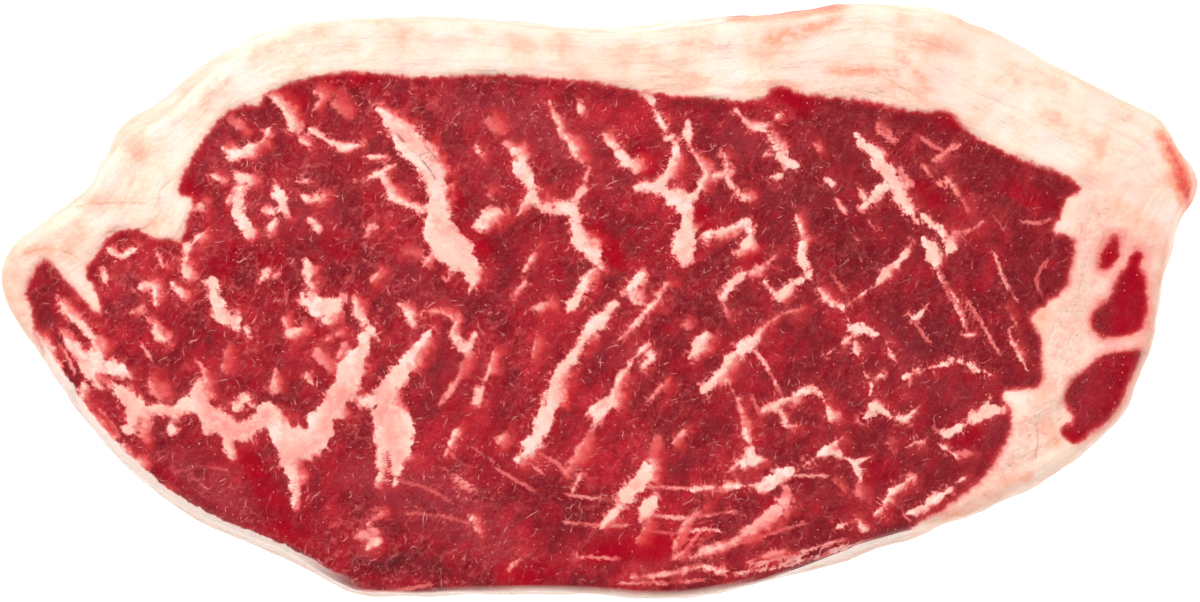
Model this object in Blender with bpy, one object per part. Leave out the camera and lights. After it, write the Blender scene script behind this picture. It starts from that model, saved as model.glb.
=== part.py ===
"""A raw beef strip steak that lies on its lower cut face.

The steak is one slab, cut through its whole thickness by upright seams: the marbled eye of lean, the fat that
wraps it from the left tip over the back to the tail, and two strips of flank muscle inside the tail's fat.
Metres, +Z up. The origin is the middle of the steak's box on the surface it lies on, +X points to the tail
and +Y to the back fat. Plan points below are in millimetres, as drawn on a steak of DRAWN_LENGTH.
"""

import math

import bmesh
import bpy
from mathutils import Vector, noise

# Driving sizes, in metres
STEAK_LENGTH = 0.210
STEAK_THICKNESS = 0.025
SEAM_GAP = 0.0003
TOP_EDGE_RADIUS = 0.0024
BOTTOM_EDGE_RADIUS = 0.0020
BELLY_HEIGHT = 0.0080

# Relief of the upper cut face, in metres
FAT_STEP = 0.0007
FAT_STEP_WIDTH = 0.0030
SWELL_HEIGHT = 0.0009
SWELL_SPAN = 0.034
LUMP_HEIGHT = 0.00035
LUMP_SPAN = 0.011
TAIL_DROP = 0.0018
TAIL_START = 0.045

# Mesh grain: the flat core's cells, the rings around it and down the wall
CORE_SHARE = 0.72
CORE_CELLS_LONG = 46
CORE_CELLS_WIDE = 23
RIM_RINGS = 6
EDGE_STEPS = 3
WALL_STEPS = 5
SEAM_STEP = 0.0024
OUTLINE_SAMPLES = 720

# Everything below is in millimetres on a steak drawn this long
DRAWN_LENGTH = 210.0
PLAN_SCALE = STEAK_LENGTH / DRAWN_LENGTH

OUTLINE = [
    (-105, 5), (-103, 10), (-97.5, 14.5), (-90.5, 19.5), (-88, 25), (-84, 31.5), (-79, 34.5), (-73.5, 39),
    (-68.5, 43), (-60, 47), (-52, 49), (-42, 49.8), (-29, 50), (-17, 49.5), (-5, 48.5), (6, 48.5),
    (18.5, 50), (32, 50.7), (42, 52.3), (52, 52.2), (59, 51.5), (64.5, 49), (72.5, 45.5), (80, 41.5),
    (90, 36), (98, 32.5), (102, 27), (105, 21.5), (104.5, 18), (101.5, 13), (99, 4), (97.5, -4),
    (95, -12), (91.5, -20), (85, -26.5), (76, -32.5), (64, -38), (48, -44), (33, -48.5), (18, -51.8),
    (8, -52.3), (-4, -51.5), (-19, -51.5), (-34, -52), (-44, -51), (-56, -45), (-70, -39), (-81, -31.5),
    (-90, -22), (-98.5, -9.5), (-103.5, -1),
]

# The seam between the eye and the fat. It leaves the steak along the thin lower edge, where no fat covers the lean
EYE_BORDER = [
    (-110, -20), (-102, -13), (-97.5, -9), (-98.5, -5.5), (-99, -1.5), (-100, 1.5), (-98, 6), (-96.5, 7.5),
    (-94.5, 5.5), (-91, 1.5), (-87, -2.5), (-88, 2), (-89.5, 5), (-86.5, 10), (-84.5, 12), (-80.5, 12.5),
    (-78, 11), (-75, 11), (-73, 10.5), (-71.8, 14.5), (-71, 17.5), (-73.5, 19.5), (-71, 25), (-67.7, 30),
    (-64, 33.5), (-59.5, 34.5), (-57.5, 36.5), (-52, 38.5), (-44, 40), (-38, 39.5), (-30, 39), (-20, 39.5),
    (-10, 39), (0, 38), (7, 36.5), (18, 35.5), (27, 35), (31, 37.5), (36, 36), (46, 35), (55, 33),
    (60.5, 33), (64, 29.5), (68.5, 27), (74, 24.5), (80, 22.5), (83, 20.5), (81, 16), (79, 12.5),
    (82.5, 10.5), (82, 4), (80, 0.5), (76, -2.5), (74.8, -5.5), (76.5, -8.5), (75.5, -13.5), (70, -15.5),
    (71.5, -20), (70.5, -25), (66, -31), (60, -36), (54, -40), (51, -50), (0, -66), (-60, -62),
    (-100, -42),
]

# Name, then its seam, for each strip of flank muscle in the tail's fat
TAIL_MUSCLES = {
    "tail_muscle_upper": [
        (90.5, 6), (92.5, 7), (94.5, 6), (95, 3.5), (95, -0.5), (94, -4), (92, -5.3), (88.8, -6.7),
        (86, -4.8), (85, -2.5), (87, 0.2), (89.3, 3.5),
    ],
    "tail_muscle_lower": [
        (88.3, -8.8), (93, -8.3), (94, -9.8), (93, -13), (91, -17), (88.5, -19.6), (85, -22.8), (82.8, -24.3),
        (80.5, -23), (81.5, -20.5), (80.5, -17.8), (81.5, -14), (84.6, -10.6),
    ],
}

# Where the wall leans outwards below the cut edge: centre, how far it leans, and how far along the edge it reaches
WALL_LEAN_EVERYWHERE = 0.7
WALL_LEANS = [
    ((-76, 37), 3.0, 20.0),
    ((104, 20), 2.6, 10.0),
    ((-64, -42), 1.2, 30.0),
    ((46, -45), 1.7, 15.0),
    ((0, 48.5), 1.0, 20.0),
]

LEAN_COLOUR = (0.33, 0.012, 0.020, 1.0)
TAIL_COLOUR = (0.40, 0.016, 0.026, 1.0)
FAT_COLOUR = (0.93, 0.74, 0.58, 1.0)
LEAN_ROUGHNESS = 0.32
FAT_ROUGHNESS = 0.45


def smooth_closed(points, count):
    """Samples count points on a closed Catmull-Rom curve through the plan points, evenly along its length."""
    dense = []
    total = len(points)
    for i in range(total):
        a, b, c, d = (Vector(points[(i + k - 1) % total]) for k in range(4))
        for step in range(16):
            t = step / 16
            dense.append(
                0.5 * (2 * b + (c - a) * t + (2 * a - 5 * b + 4 * c - d) * t**2 + (3 * b - a - 3 * c + d) * t**3)
            )
    reach = [0.0]
    for first, second in zip(dense, dense[1:] + dense[:1]):
        reach.append(reach[-1] + (second - first).length)
    found = []
    place = 0
    for k in range(count):
        wanted = reach[-1] * k / count
        while reach[place + 1] < wanted:
            place += 1
        share = (wanted - reach[place]) / (reach[place + 1] - reach[place])
        found.append(dense[place].lerp(dense[(place + 1) % len(dense)], share))
    return found


def curve_length(points):
    """The length of the closed line through the points."""
    return sum((b - a).length for a, b in zip(points, points[1:] + points[:1]))


def outward_normals(points):
    """Unit normals of a closed clockwise line, pointing out of it."""
    total = len(points)
    normals = []
    for i in range(total):
        along = (points[(i + 1) % total] - points[i - 1]).normalized()
        normals.append(Vector((-along.y, along.x)))
    return normals


def plan(points, count):
    """The closed curve through drawn points, in metres."""
    return [p * PLAN_SCALE for p in smooth_closed(points, count)]


def smoothstep(x):
    """0 below 0, 1 above 1, and a smooth ramp between."""
    x = min(1.0, max(0.0, x))
    return x * x * (3 - 2 * x)


class Outline:
    """The steak's plan outline, read by bearing from its middle."""

    def __init__(self, points, count):
        self.points = plan(points, count)
        self.normals = outward_normals(self.points)
        xs = [p.x for p in self.points]
        ys = [p.y for p in self.points]
        self.half_length = (max(xs) - min(xs)) / 2
        self.half_width = (max(ys) - min(ys)) / 2
        self.bearings = [self.bearing(p) for p in self.points]

    def bearing(self, point):
        """The angle of a point, on the circle that the outline's box is squeezed into."""
        return math.atan2(point.y / self.half_width, point.x / self.half_length)

    def at(self, bearing):
        """The outline's point and outward normal at a bearing."""
        total = len(self.points)
        for i in range(total):
            here, after = self.bearings[i], self.bearings[(i + 1) % total]
            turn = (here - after) % math.tau
            past = (here - bearing) % math.tau
            if past <= turn < math.pi:
                share = past / turn if turn else 0.0
                j = (i + 1) % total
                point = self.points[i].lerp(self.points[j], share)
                return point, self.normals[i].lerp(self.normals[j], share).normalized()
        raise ValueError("the outline has no point at this bearing")


def wall_lean(point):
    """How far the widest part of the wall stands outside the cut edge, in metres, near a plan point."""
    drawn = point / PLAN_SCALE
    lean = WALL_LEAN_EVERYWHERE
    for centre, amount, reach in WALL_LEANS:
        lean += amount * math.exp(-((drawn - Vector(centre)).length_squared) / reach**2)
    return lean * PLAN_SCALE


def distance_inside(point, border):
    """Signed distance from a plan point to a closed border, positive inside it."""
    nearest = math.inf
    inside = False
    for a, b in zip(border, border[1:] + border[:1]):
        along = b - a
        t = min(1.0, max(0.0, (point - a).dot(along) / along.length_squared))
        nearest = min(nearest, (point - a - along * t).length)
        if (a.y > point.y) != (b.y > point.y):
            if point.x < a.x + along.x * (point.y - a.y) / along.y:
                inside = not inside
    return nearest if inside else -nearest


def top_height(point, eye):
    """The height of the upper cut face over a plan point: slow swells, soft lumps and a step up onto the fat."""
    swell = noise.noise(Vector((point.x / SWELL_SPAN, point.y / SWELL_SPAN, 0.3)))
    lump = noise.noise(Vector((point.x / LUMP_SPAN, point.y / LUMP_SPAN, 4.7)))
    on_fat = smoothstep(0.5 - distance_inside(point, eye) / FAT_STEP_WIDTH)
    drop = smoothstep((point.x - TAIL_START) / (STEAK_LENGTH / 2 - TAIL_START))
    return STEAK_THICKNESS + SWELL_HEIGHT * swell + LUMP_HEIGHT * lump + FAT_STEP * on_fat - TAIL_DROP * drop


def wall_profile(lean, height):
    """The wall's section as (how far inside the widest line, height), from the cut edge down to the bottom."""
    section = []
    for step in range(1, EDGE_STEPS + 1):
        turn = math.pi / 2 * step / EDGE_STEPS
        section.append(
            (lean + TOP_EDGE_RADIUS * (1 - math.sin(turn)), height - TOP_EDGE_RADIUS * (1 - math.cos(turn)))
        )
    for step in range(1, WALL_STEPS + 1):
        share = step / WALL_STEPS
        section.append((lean * (1 - smoothstep(share)), height - TOP_EDGE_RADIUS
                        - (height - TOP_EDGE_RADIUS - BELLY_HEIGHT) * share))
    for step in range(1, EDGE_STEPS + 1):
        turn = math.pi / 2 * step / EDGE_STEPS
        section.append((BOTTOM_EDGE_RADIUS * (1 - math.cos(turn)), BELLY_HEIGHT * (1 - math.sin(turn))))
    return section


def build_slab(outline, eye):
    """The whole steak as one closed mesh: a core grid, rings out to the cut edge, then down the wall."""
    bm = bmesh.new()
    bearing_layer = bm.verts.layers.float.new("bearing")
    bmesh.ops.create_grid(bm, x_segments=CORE_CELLS_LONG, y_segments=CORE_CELLS_WIDE, size=1.0)
    core_x = outline.half_length * CORE_SHARE
    core_y = outline.half_width * CORE_SHARE / math.sqrt(2)
    for vert in bm.verts:
        x, y = vert.co.x, vert.co.y
        vert.co.x = core_x * x * (1 - 0.12 * y * y)
        vert.co.y = core_y * y * (1 - 0.12 * x * x)
    edges = [edge for edge in bm.edges if edge.is_boundary]
    rim = {vert for edge in edges for vert in edge.verts}
    for vert in rim:
        vert[bearing_layer] = outline.bearing(vert.co)
    starts = {round(vert[bearing_layer], 6): vert.co.xy.copy() for vert in rim}
    section_at = {}
    for key in starts:
        point, normal = outline.at(key)
        lean = wall_lean(point)
        edge_point = point - normal * (lean + TOP_EDGE_RADIUS)
        section_at[key] = (point, normal, edge_point, wall_profile(lean, top_height(edge_point, eye)))

    steps = len(next(iter(section_at.values()))[3])
    for ring in range(1, RIM_RINGS + steps + 1):
        made = bmesh.ops.extrude_edge_only(bm, edges=edges)["geom"]
        edges = [item for item in made if isinstance(item, bmesh.types.BMEdge) and item.is_boundary]
        for vert in {vert for edge in edges for vert in edge.verts}:
            key = round(vert[bearing_layer], 6)
            point, normal, edge_point, section = section_at[key]
            if ring <= RIM_RINGS:
                flat = starts[key].lerp(edge_point, ring / RIM_RINGS)
                vert.co = (flat.x, flat.y, 0.0)
            else:
                inset, height = section[ring - RIM_RINGS - 1]
                flat = point - normal * inset
                vert.co = (flat.x, flat.y, height)
    on_top = [vert for vert in bm.verts if vert.co.z == 0.0 and not any(e in edges for e in vert.link_edges)]
    for vert in on_top:
        vert.co.z = top_height(vert.co.xy, eye)
    bmesh.ops.holes_fill(bm, edges=edges)
    bmesh.ops.recalc_face_normals(bm, faces=bm.faces)
    mesh = bpy.data.meshes.new("steak_slab")
    bm.to_mesh(mesh)
    bm.free()
    return mesh


def seam_line(points, grow):
    """A seam's plan line in metres, with points about SEAM_STEP apart, moved outwards by grow."""
    count = round(curve_length(plan(points, OUTLINE_SAMPLES)) / SEAM_STEP)
    line = plan(points, count)
    return [p + n * grow for p, n in zip(line, outward_normals(line))]


def build_cutter(name, line, collection):
    """An upright prism on a seam line, tall enough to pass right through the steak."""
    curve = bpy.data.curves.new(name, "CURVE")
    curve.dimensions = "2D"
    curve.fill_mode = "BOTH"
    curve.extrude = STEAK_THICKNESS
    spline = curve.splines.new("POLY")
    spline.points.add(len(line) - 1)
    for item, place in zip(spline.points, line):
        item.co = (place.x, place.y, 0.0, 1.0)
    spline.use_cyclic_u = True
    flat = bpy.data.objects.new(name + "_line", curve)
    flat.location.z = STEAK_THICKNESS / 2
    collection.objects.link(flat)
    bpy.context.view_layer.update()

    graph = bpy.context.evaluated_depsgraph_get()
    mesh = bpy.data.meshes.new_from_object(flat.evaluated_get(graph))
    bm = bmesh.new()
    bm.from_mesh(mesh)
    bmesh.ops.remove_doubles(bm, verts=bm.verts, dist=0.00001)
    bmesh.ops.recalc_face_normals(bm, faces=bm.faces)
    bm.to_mesh(mesh)
    bm.free()
    cutter = bpy.data.objects.new(name, mesh)
    cutter.matrix_world = flat.matrix_world.copy()
    bpy.data.objects.remove(flat)
    cutter.hide_render = True
    cutter.display_type = "WIRE"
    collection.objects.link(cutter)
    return cutter


def make_material(name, colour, roughness):
    """A plain Principled material."""
    material = bpy.data.materials.new(name)
    material.use_nodes = True
    shader = material.node_tree.nodes["Principled BSDF"]
    shader.inputs["Base Color"].default_value = colour
    shader.inputs["Roughness"].default_value = roughness
    shader.inputs["Metallic"].default_value = 0.0
    return material


def build_piece(name, slab, material, cuts, collection):
    """One sub-part: the slab, cut by each (operation, cutter) in turn."""
    piece = bpy.data.objects.new(name, slab.copy())
    piece.data.materials.append(material)
    for operation, cutter in cuts:
        cut = piece.modifiers.new(f"{operation.lower()}_{cutter.name}", "BOOLEAN")
        cut.operation = operation
        cut.object = cutter
        cut.solver = "EXACT"
    collection.objects.link(piece)
    return piece


def main():
    """Clears the scene and builds the steak's four sub-parts."""
    for old in list(bpy.data.objects):
        bpy.data.objects.remove(old)
    steak = bpy.data.collections.new("raw_beef_steak")
    cutters = bpy.data.collections.new("seam_cutters")
    bpy.context.scene.collection.children.link(steak)
    bpy.context.scene.collection.children.link(cutters)

    outline = Outline(OUTLINE, OUTLINE_SAMPLES)
    slab = build_slab(outline, seam_line(EYE_BORDER, 0.0))
    lean = make_material("lean", LEAN_COLOUR, LEAN_ROUGHNESS)
    tail_lean = make_material("tail_lean", TAIL_COLOUR, LEAN_ROUGHNESS)
    fat = make_material("fat", FAT_COLOUR, FAT_ROUGHNESS)

    eye_cutter = build_cutter("eye_prism", seam_line(EYE_BORDER, 0.0), cutters)
    build_piece("eye_muscle", slab, lean, [("INTERSECT", eye_cutter)], steak)
    pockets = [("DIFFERENCE", build_cutter("eye_pocket", seam_line(EYE_BORDER, SEAM_GAP), cutters))]
    for name, border in TAIL_MUSCLES.items():
        prism = build_cutter(name + "_prism", seam_line(border, 0.0), cutters)
        build_piece(name, slab, tail_lean, [("INTERSECT", prism)], steak)
        pockets.append(("DIFFERENCE", build_cutter(name + "_pocket", seam_line(border, SEAM_GAP), cutters)))
    build_piece("fat_cap", slab, fat, pockets, steak)


main()
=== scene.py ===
"""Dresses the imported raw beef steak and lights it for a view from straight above.

The steak's lean and fat are grown together, so one closed skin carries both. Its plan, its thickness and
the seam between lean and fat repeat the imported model's own named sizes, and the marbling is drawn stroke by
stroke as the cut face shows it. Each vertex keeps its distances to the strokes, and the finish turns them
into edges.

Lengths are metres unless a name says otherwise. Strokes are in photo pixels, on a plan of 1200 by 602.
"""

from __future__ import annotations

import logging
import math
from dataclasses import dataclass, field
from enum import Enum

import bmesh
import bpy
import numpy as np
from mathutils import Matrix, Vector, noise

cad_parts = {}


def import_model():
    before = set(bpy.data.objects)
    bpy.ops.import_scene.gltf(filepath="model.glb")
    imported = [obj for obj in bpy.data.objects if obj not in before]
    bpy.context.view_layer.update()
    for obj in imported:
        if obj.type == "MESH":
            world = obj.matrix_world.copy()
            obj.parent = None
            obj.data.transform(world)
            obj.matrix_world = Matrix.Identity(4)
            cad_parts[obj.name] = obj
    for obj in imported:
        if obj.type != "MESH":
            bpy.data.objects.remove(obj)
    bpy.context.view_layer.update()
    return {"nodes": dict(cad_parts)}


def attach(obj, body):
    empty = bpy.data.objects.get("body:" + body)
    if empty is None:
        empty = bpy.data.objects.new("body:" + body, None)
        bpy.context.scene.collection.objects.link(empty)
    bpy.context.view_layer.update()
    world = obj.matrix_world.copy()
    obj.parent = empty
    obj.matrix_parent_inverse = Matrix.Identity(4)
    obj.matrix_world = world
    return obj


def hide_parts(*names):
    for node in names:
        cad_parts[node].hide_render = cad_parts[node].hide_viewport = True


LOG = logging.getLogger("raw_beef_steak")
MM = 0.001

# The drawn plan: the photo's frame, and the steak's length in it
PHOTO_SIZE = (1200, 602)
PHOTO_STEAK_LENGTH = 1192
STEAK_LENGTH = 0.210
PIXEL = STEAK_LENGTH / PHOTO_STEAK_LENGTH

# The steak's outline, clockwise from its left tip, and the seam round the eye of lean, in millimetres
OUTLINE = (
    (-105, 5), (-103, 10), (-97.5, 14.5), (-90.5, 19.5), (-88, 25), (-84, 31.5), (-79, 34.5), (-73.5, 39),
    (-68.5, 43), (-60, 47), (-52, 49), (-42, 49.8), (-29, 50), (-17, 49.5), (-5, 48.5), (6, 48.5),
    (18.5, 50), (32, 50.7), (42, 52.3), (52, 52.2), (59, 51.5), (64.5, 49), (72.5, 45.5), (80, 41.5),
    (90, 36), (98, 32.5), (102, 27), (105, 21.5), (104.5, 18), (101.5, 13), (99, 4), (97.5, -4),
    (95, -12), (91.5, -20), (85, -26.5), (76, -32.5), (64, -38), (48, -44), (33, -48.5), (18, -51.8),
    (8, -52.3), (-4, -51.5), (-19, -51.5), (-34, -52), (-44, -51), (-56, -45), (-70, -39), (-81, -31.5),
    (-90, -22), (-98.5, -9.5), (-103.5, -1),
)
EYE_BORDER = (
    (-110, -20), (-102, -13), (-97.5, -9), (-98.5, -5.5), (-99, -1.5), (-100, 1.5), (-98, 6), (-96.5, 7.5),
    (-94.5, 5.5), (-91, 1.5), (-87, -2.5), (-88, 2), (-89.5, 5), (-86.5, 10), (-84.5, 12), (-80.5, 12.5),
    (-78, 11), (-75, 11), (-73, 10.5), (-71.8, 14.5), (-71, 17.5), (-73.5, 19.5), (-71, 25), (-67.7, 30),
    (-64, 33.5), (-59.5, 34.5), (-57.5, 36.5), (-52, 38.5), (-44, 40), (-38, 39.5), (-30, 39), (-20, 39.5),
    (-10, 39), (0, 38), (7, 36.5), (18, 35.5), (27, 35), (31, 37.5), (36, 36), (46, 35), (55, 33),
    (60.5, 33), (64, 29.5), (68.5, 27), (74, 24.5), (80, 22.3), (83.8, 19.8), (81.2, 17.6), (80, 14.5),
    (78.8, 12.2), (82.2, 11), (82.5, 8.5), (81.9, 5), (80.8, 2), (77.5, -0.5), (74.8, -3), (76.4, -5.8),
    (76.8, -9.5), (76.2, -14.8), (70, -15.8), (71.6, -19.6), (70.8, -24.5), (66.5, -31), (60, -36),
    (54, -40), (51, -50), (0, -66), (-60, -62), (-100, -42),
)
TAIL_MUSCLES = (
    (
        (93.1, 9), (94.6, 8.2), (94.1, 6.4), (95, 3.7), (95.1, 0), (94.7, -3), (93.4, -5.4), (88.2, -6.5),
        (85.8, -5.4), (85, -3.2), (86.4, -1), (88.6, 0.7), (89.5, 3.5), (91.4, 6.2),
    ),
    (
        (87.2, -9.4), (91, -8.6), (94, -8.5), (94.3, -10.2), (92, -14.3), (90.5, -18), (88.4, -21),
        (85.6, -22.8),
        (83.2, -24.7), (80.7, -23.6), (82, -20.4), (80.6, -17.2), (81.5, -14.2), (84.2, -11.6),
    ),
)

# Where the wall leans outwards below the cut edge, in millimetres: centre, how far it leans, and its reach
WALL_LEAN_EVERYWHERE = 0.7
WALL_LEANS = (
    ((-76, 37), 3.0, 20.0),
    ((104, 20), 0.9, 10.0),
    ((-64, -42), 1.2, 30.0),
    ((46, -45), 1.7, 15.0),
    ((0, 48.5), 1.0, 20.0),
)


@dataclass(frozen=True)
class Stroke:
    """A mark on the cut face: (x, y, half width) in photo pixels along its route, and how strong it is."""

    strength: float
    route: tuple[tuple[float, float, float], ...]


def stroke(strength: float, *route: tuple[float, float, float]) -> Stroke:
    """One stroke through the points of its route."""
    return Stroke(strength, route)


# The marbling, group by group over the cut face
LEFT_LOBE = (
    stroke(1.0, (66, 299, 2.5), (75, 313, 4), (87, 322, 4), (101, 337, 4)),
    stroke(0.9, (116, 250, 3), (127, 257, 4), (139, 250, 3)),
    stroke(0.8, (110, 272, 3), (111, 280, 2.5)),
    stroke(0.95, (147, 287, 3), (159, 285, 4), (160, 296, 3.5), (161, 305, 2.5)),
    stroke(0.7, (163, 255, 3), (167, 265, 2.5)),
    stroke(1.0, (191, 248, 3.5), (191, 261, 4), (193, 274, 3.5)),
    stroke(0.9, (179, 286, 3), (188, 293, 4)),
    stroke(0.8, (139, 312, 2), (145, 309, 2)),
    stroke(0.7, (153, 319, 2), (161, 329, 2)),
    stroke(1.0, (216, 281, 5), (222, 298, 6), (226, 313, 7), (236, 320, 8), (240, 326, 6)),
    stroke(0.8, (205, 206, 5), (198, 211, 4)),
    stroke(0.8, (205, 236, 2.5), (197, 243, 2)),
    stroke(0.8, (219, 178, 2.5), (227, 181, 2.5)),
    stroke(0.9, (251, 327, 4), (252, 336, 3.5)),
    stroke(0.95, (161, 324, 2.5), (162, 332, 4.5), (170, 338, 5)),
    stroke(0.95, (266, 278, 3), (270, 274, 4.5), (279, 276, 3.5)),
    stroke(0.9, (312, 262, 5), (312, 274, 5), (314, 285, 4)),
    stroke(1.0, (309, 300, 7), (318, 307, 9), (330, 305, 9), (341, 302, 6)),
    stroke(1.0, (338, 310, 7), (331, 319, 5)),
    stroke(0.85, (358, 304, 4), (362, 317, 5), (371, 326, 4), (379, 336, 3)),
    stroke(0.75, (294, 333, 5), (306, 329, 4)),
    stroke(0.6, (288, 320, 3), (292, 328, 2.5)),
    stroke(0.5, (320, 352, 6), (327, 360, 6), (333, 369, 4)),
    stroke(0.55, (347, 344, 4), (342, 353, 4)),
    stroke(0.5, (333, 336, 4), (342, 333, 3)),
    stroke(0.6, (278, 369, 3), (279, 388, 4)),
    stroke(0.5, (231, 351, 2), (227, 366, 2.5)),
    stroke(0.8, (312, 375, 2.5), (315, 382, 2)),
    stroke(0.9, (243, 404, 6), (250, 398, 6), (256, 404, 4)),
)
UPPER_LEFT = (
    stroke(0.95, (229, 150, 4), (243, 156, 6), (257, 148, 4), (267, 142, 2.5)),
    stroke(0.8, (270, 136, 2.5), (272, 131, 1.5)),
    stroke(0.45, (236, 121, 5), (245, 126, 6)),
    stroke(0.95, (270, 97, 3), (282, 102, 4), (290, 113, 5.5), (296, 126, 6)),
    stroke(0.6, (318, 94, 3), (327, 98, 3.5), (319, 110, 3)),
    stroke(0.4, (338, 105, 5), (346, 112, 5)),
    stroke(0.9, (305, 143, 3), (313, 146, 3)),
    stroke(0.9, (315, 132, 2), (327, 140, 3), (336, 145, 2.5), (346, 149, 3.5), (362, 147, 2.5)),
    stroke(0.9, (372, 158, 2), (384, 158, 2.5)),
    stroke(0.95, (371, 180, 2.5), (383, 174, 3.5), (395, 167, 2)),
    stroke(0.95, (383, 174, 3), (389, 187, 4), (397, 198, 4), (410, 205, 4), (426, 211, 5)),
    stroke(1.0, (243, 178, 4.5), (255, 181, 4.5)),
    stroke(0.85, (247, 190, 5), (243, 206, 6)),
    stroke(1.0, (243, 206, 5.5), (244, 219, 8), (252, 232, 7)),
    stroke(0.6, (239, 193, 3), (232, 203, 3)),
    stroke(0.95, (282, 188, 6), (285, 197, 8)),
    stroke(0.7, (285, 205, 2.5), (291, 214, 2.5)),
    stroke(0.85, (267, 211, 3), (277, 213, 3)),
    stroke(0.85, (275, 228, 4), (279, 222, 2.5)),
    stroke(0.85, (303, 183, 2.5), (311, 182, 3)),
    stroke(0.85, (304, 196, 2.5), (315, 201, 4), (325, 198, 3)),
    stroke(0.8, (316, 222, 4), (322, 229, 3.5)),
    stroke(0.7, (371, 231, 3.5), (378, 227, 3.5)),
    stroke(0.6, (357, 181, 2), (366, 183, 2)),
)
BACK = (
    stroke(
        1.0, (383, 112, 4), (390, 119, 7), (398, 128, 10), (410, 143, 14), (425, 158, 13), (435, 172, 12),
        (440, 190, 10), (439, 208, 11), (439, 228, 14), (448, 242, 18), (460, 254, 15), (471, 266, 11),
        (473, 280, 5), (471, 289, 2),
    ),
    stroke(0.95, (437, 253, 3), (427, 263, 2)),
    stroke(0.95, (455, 262, 3), (450, 276, 1.5)),
    stroke(0.8, (477, 226, 3), (485, 223, 7), (493, 213, 8), (503, 211, 4)),
    stroke(
        0.95, (516, 152, 5), (523, 159, 6), (522, 170, 8), (530, 181, 7), (533, 192, 6), (528, 203, 4),
        (522, 211, 2)
    ),
    stroke(1.0, (533, 199, 4), (544, 207, 5), (557, 210, 6), (571, 208, 6)),
    stroke(0.65, (588, 170, 3), (583, 187, 4), (575, 201, 6)),
    stroke(1.0, (571, 208, 6), (576, 218, 7), (577, 229, 7), (583, 244, 8), (592, 254, 9), (598, 266, 3)),
    stroke(1.0, (592, 271, 3), (584, 286, 6), (577, 298, 6.5), (569, 308, 3)),
    stroke(0.85, (550, 104, 1.5), (554, 116, 3), (562, 128, 2.5)),
    stroke(0.75, (560, 133, 4), (561, 136, 4)),
    stroke(0.85, (566, 138, 2.5), (573, 148, 4.5), (576, 156, 4), (583, 165, 2.5)),
    stroke(0.8, (579, 106, 1.5), (581, 113, 3)),
    stroke(0.85, (479, 150, 2.5), (481, 154, 1.5)),
    stroke(0.5, (489, 195, 2.5), (495, 199, 2)),
    stroke(0.5, (509, 146, 4.5), (513, 149, 4)),
    stroke(0.35, (490, 124, 6), (496, 130, 6)),
    stroke(0.95, (645, 94, 5), (652, 108, 3), (658, 121, 3.5), (664, 132, 3.5), (667, 140, 5)),
    stroke(1.0, (673, 145, 4.5), (673, 158, 5.5), (670, 169, 5), (663, 179, 4.5), (657, 187, 5)),
    stroke(0.9, (606, 139, 2.5), (615, 149, 5), (624, 159, 6), (635, 168, 6)),
    stroke(
        1.0, (637, 189, 5), (652, 190, 6), (667, 195, 8), (679, 202, 8.5), (685, 213, 8), (685, 225, 8),
        (684, 241, 10), (681, 252, 9), (683, 266, 4),
    ),
    stroke(
        0.9, (687, 125, 3), (687, 140, 3.5), (690, 150, 2.5), (698, 164, 2.5), (705, 176, 5), (698, 189, 4),
        (690, 199, 5)
    ),
    stroke(0.85, (709, 177, 2.5), (722, 175, 3), (725, 166, 2.5), (722, 157, 1.5)),
    stroke(0.9, (725, 177, 3.5), (730, 187, 4.5), (738, 195, 4), (745, 198, 3)),
    stroke(0.95, (705, 236, 5), (721, 232, 4.5), (733, 228, 4), (743, 223, 3)),
    stroke(0.9, (743, 226, 2), (750, 233, 4), (746, 241, 5), (738, 250, 5.5)),
    stroke(
        0.95, (734, 113, 2), (741, 120, 2), (748, 127, 3), (760, 130, 3.5), (770, 138, 5), (776, 150, 6),
        (782, 163, 6), (794, 167, 3.5),
    ),
    stroke(0.9, (782, 168, 5), (780, 174, 4), (770, 178, 1.5)),
    stroke(0.85, (777, 116, 1.5), (765, 127, 2.5)),
    stroke(0.7, (773, 155, 2), (764, 156, 1.2)),
    stroke(
        0.95, (794, 218, 1.6), (797, 228, 3), (800, 242, 4.5), (798, 254, 5), (801, 266, 6),
        (806, 276, 5),
    ),
    stroke(0.9, (806, 274, 4), (791, 284, 4.5), (777, 298, 5)),
    stroke(0.9, (763, 281, 2), (768, 290, 3.5), (776, 298, 4.5)),
)
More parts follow.
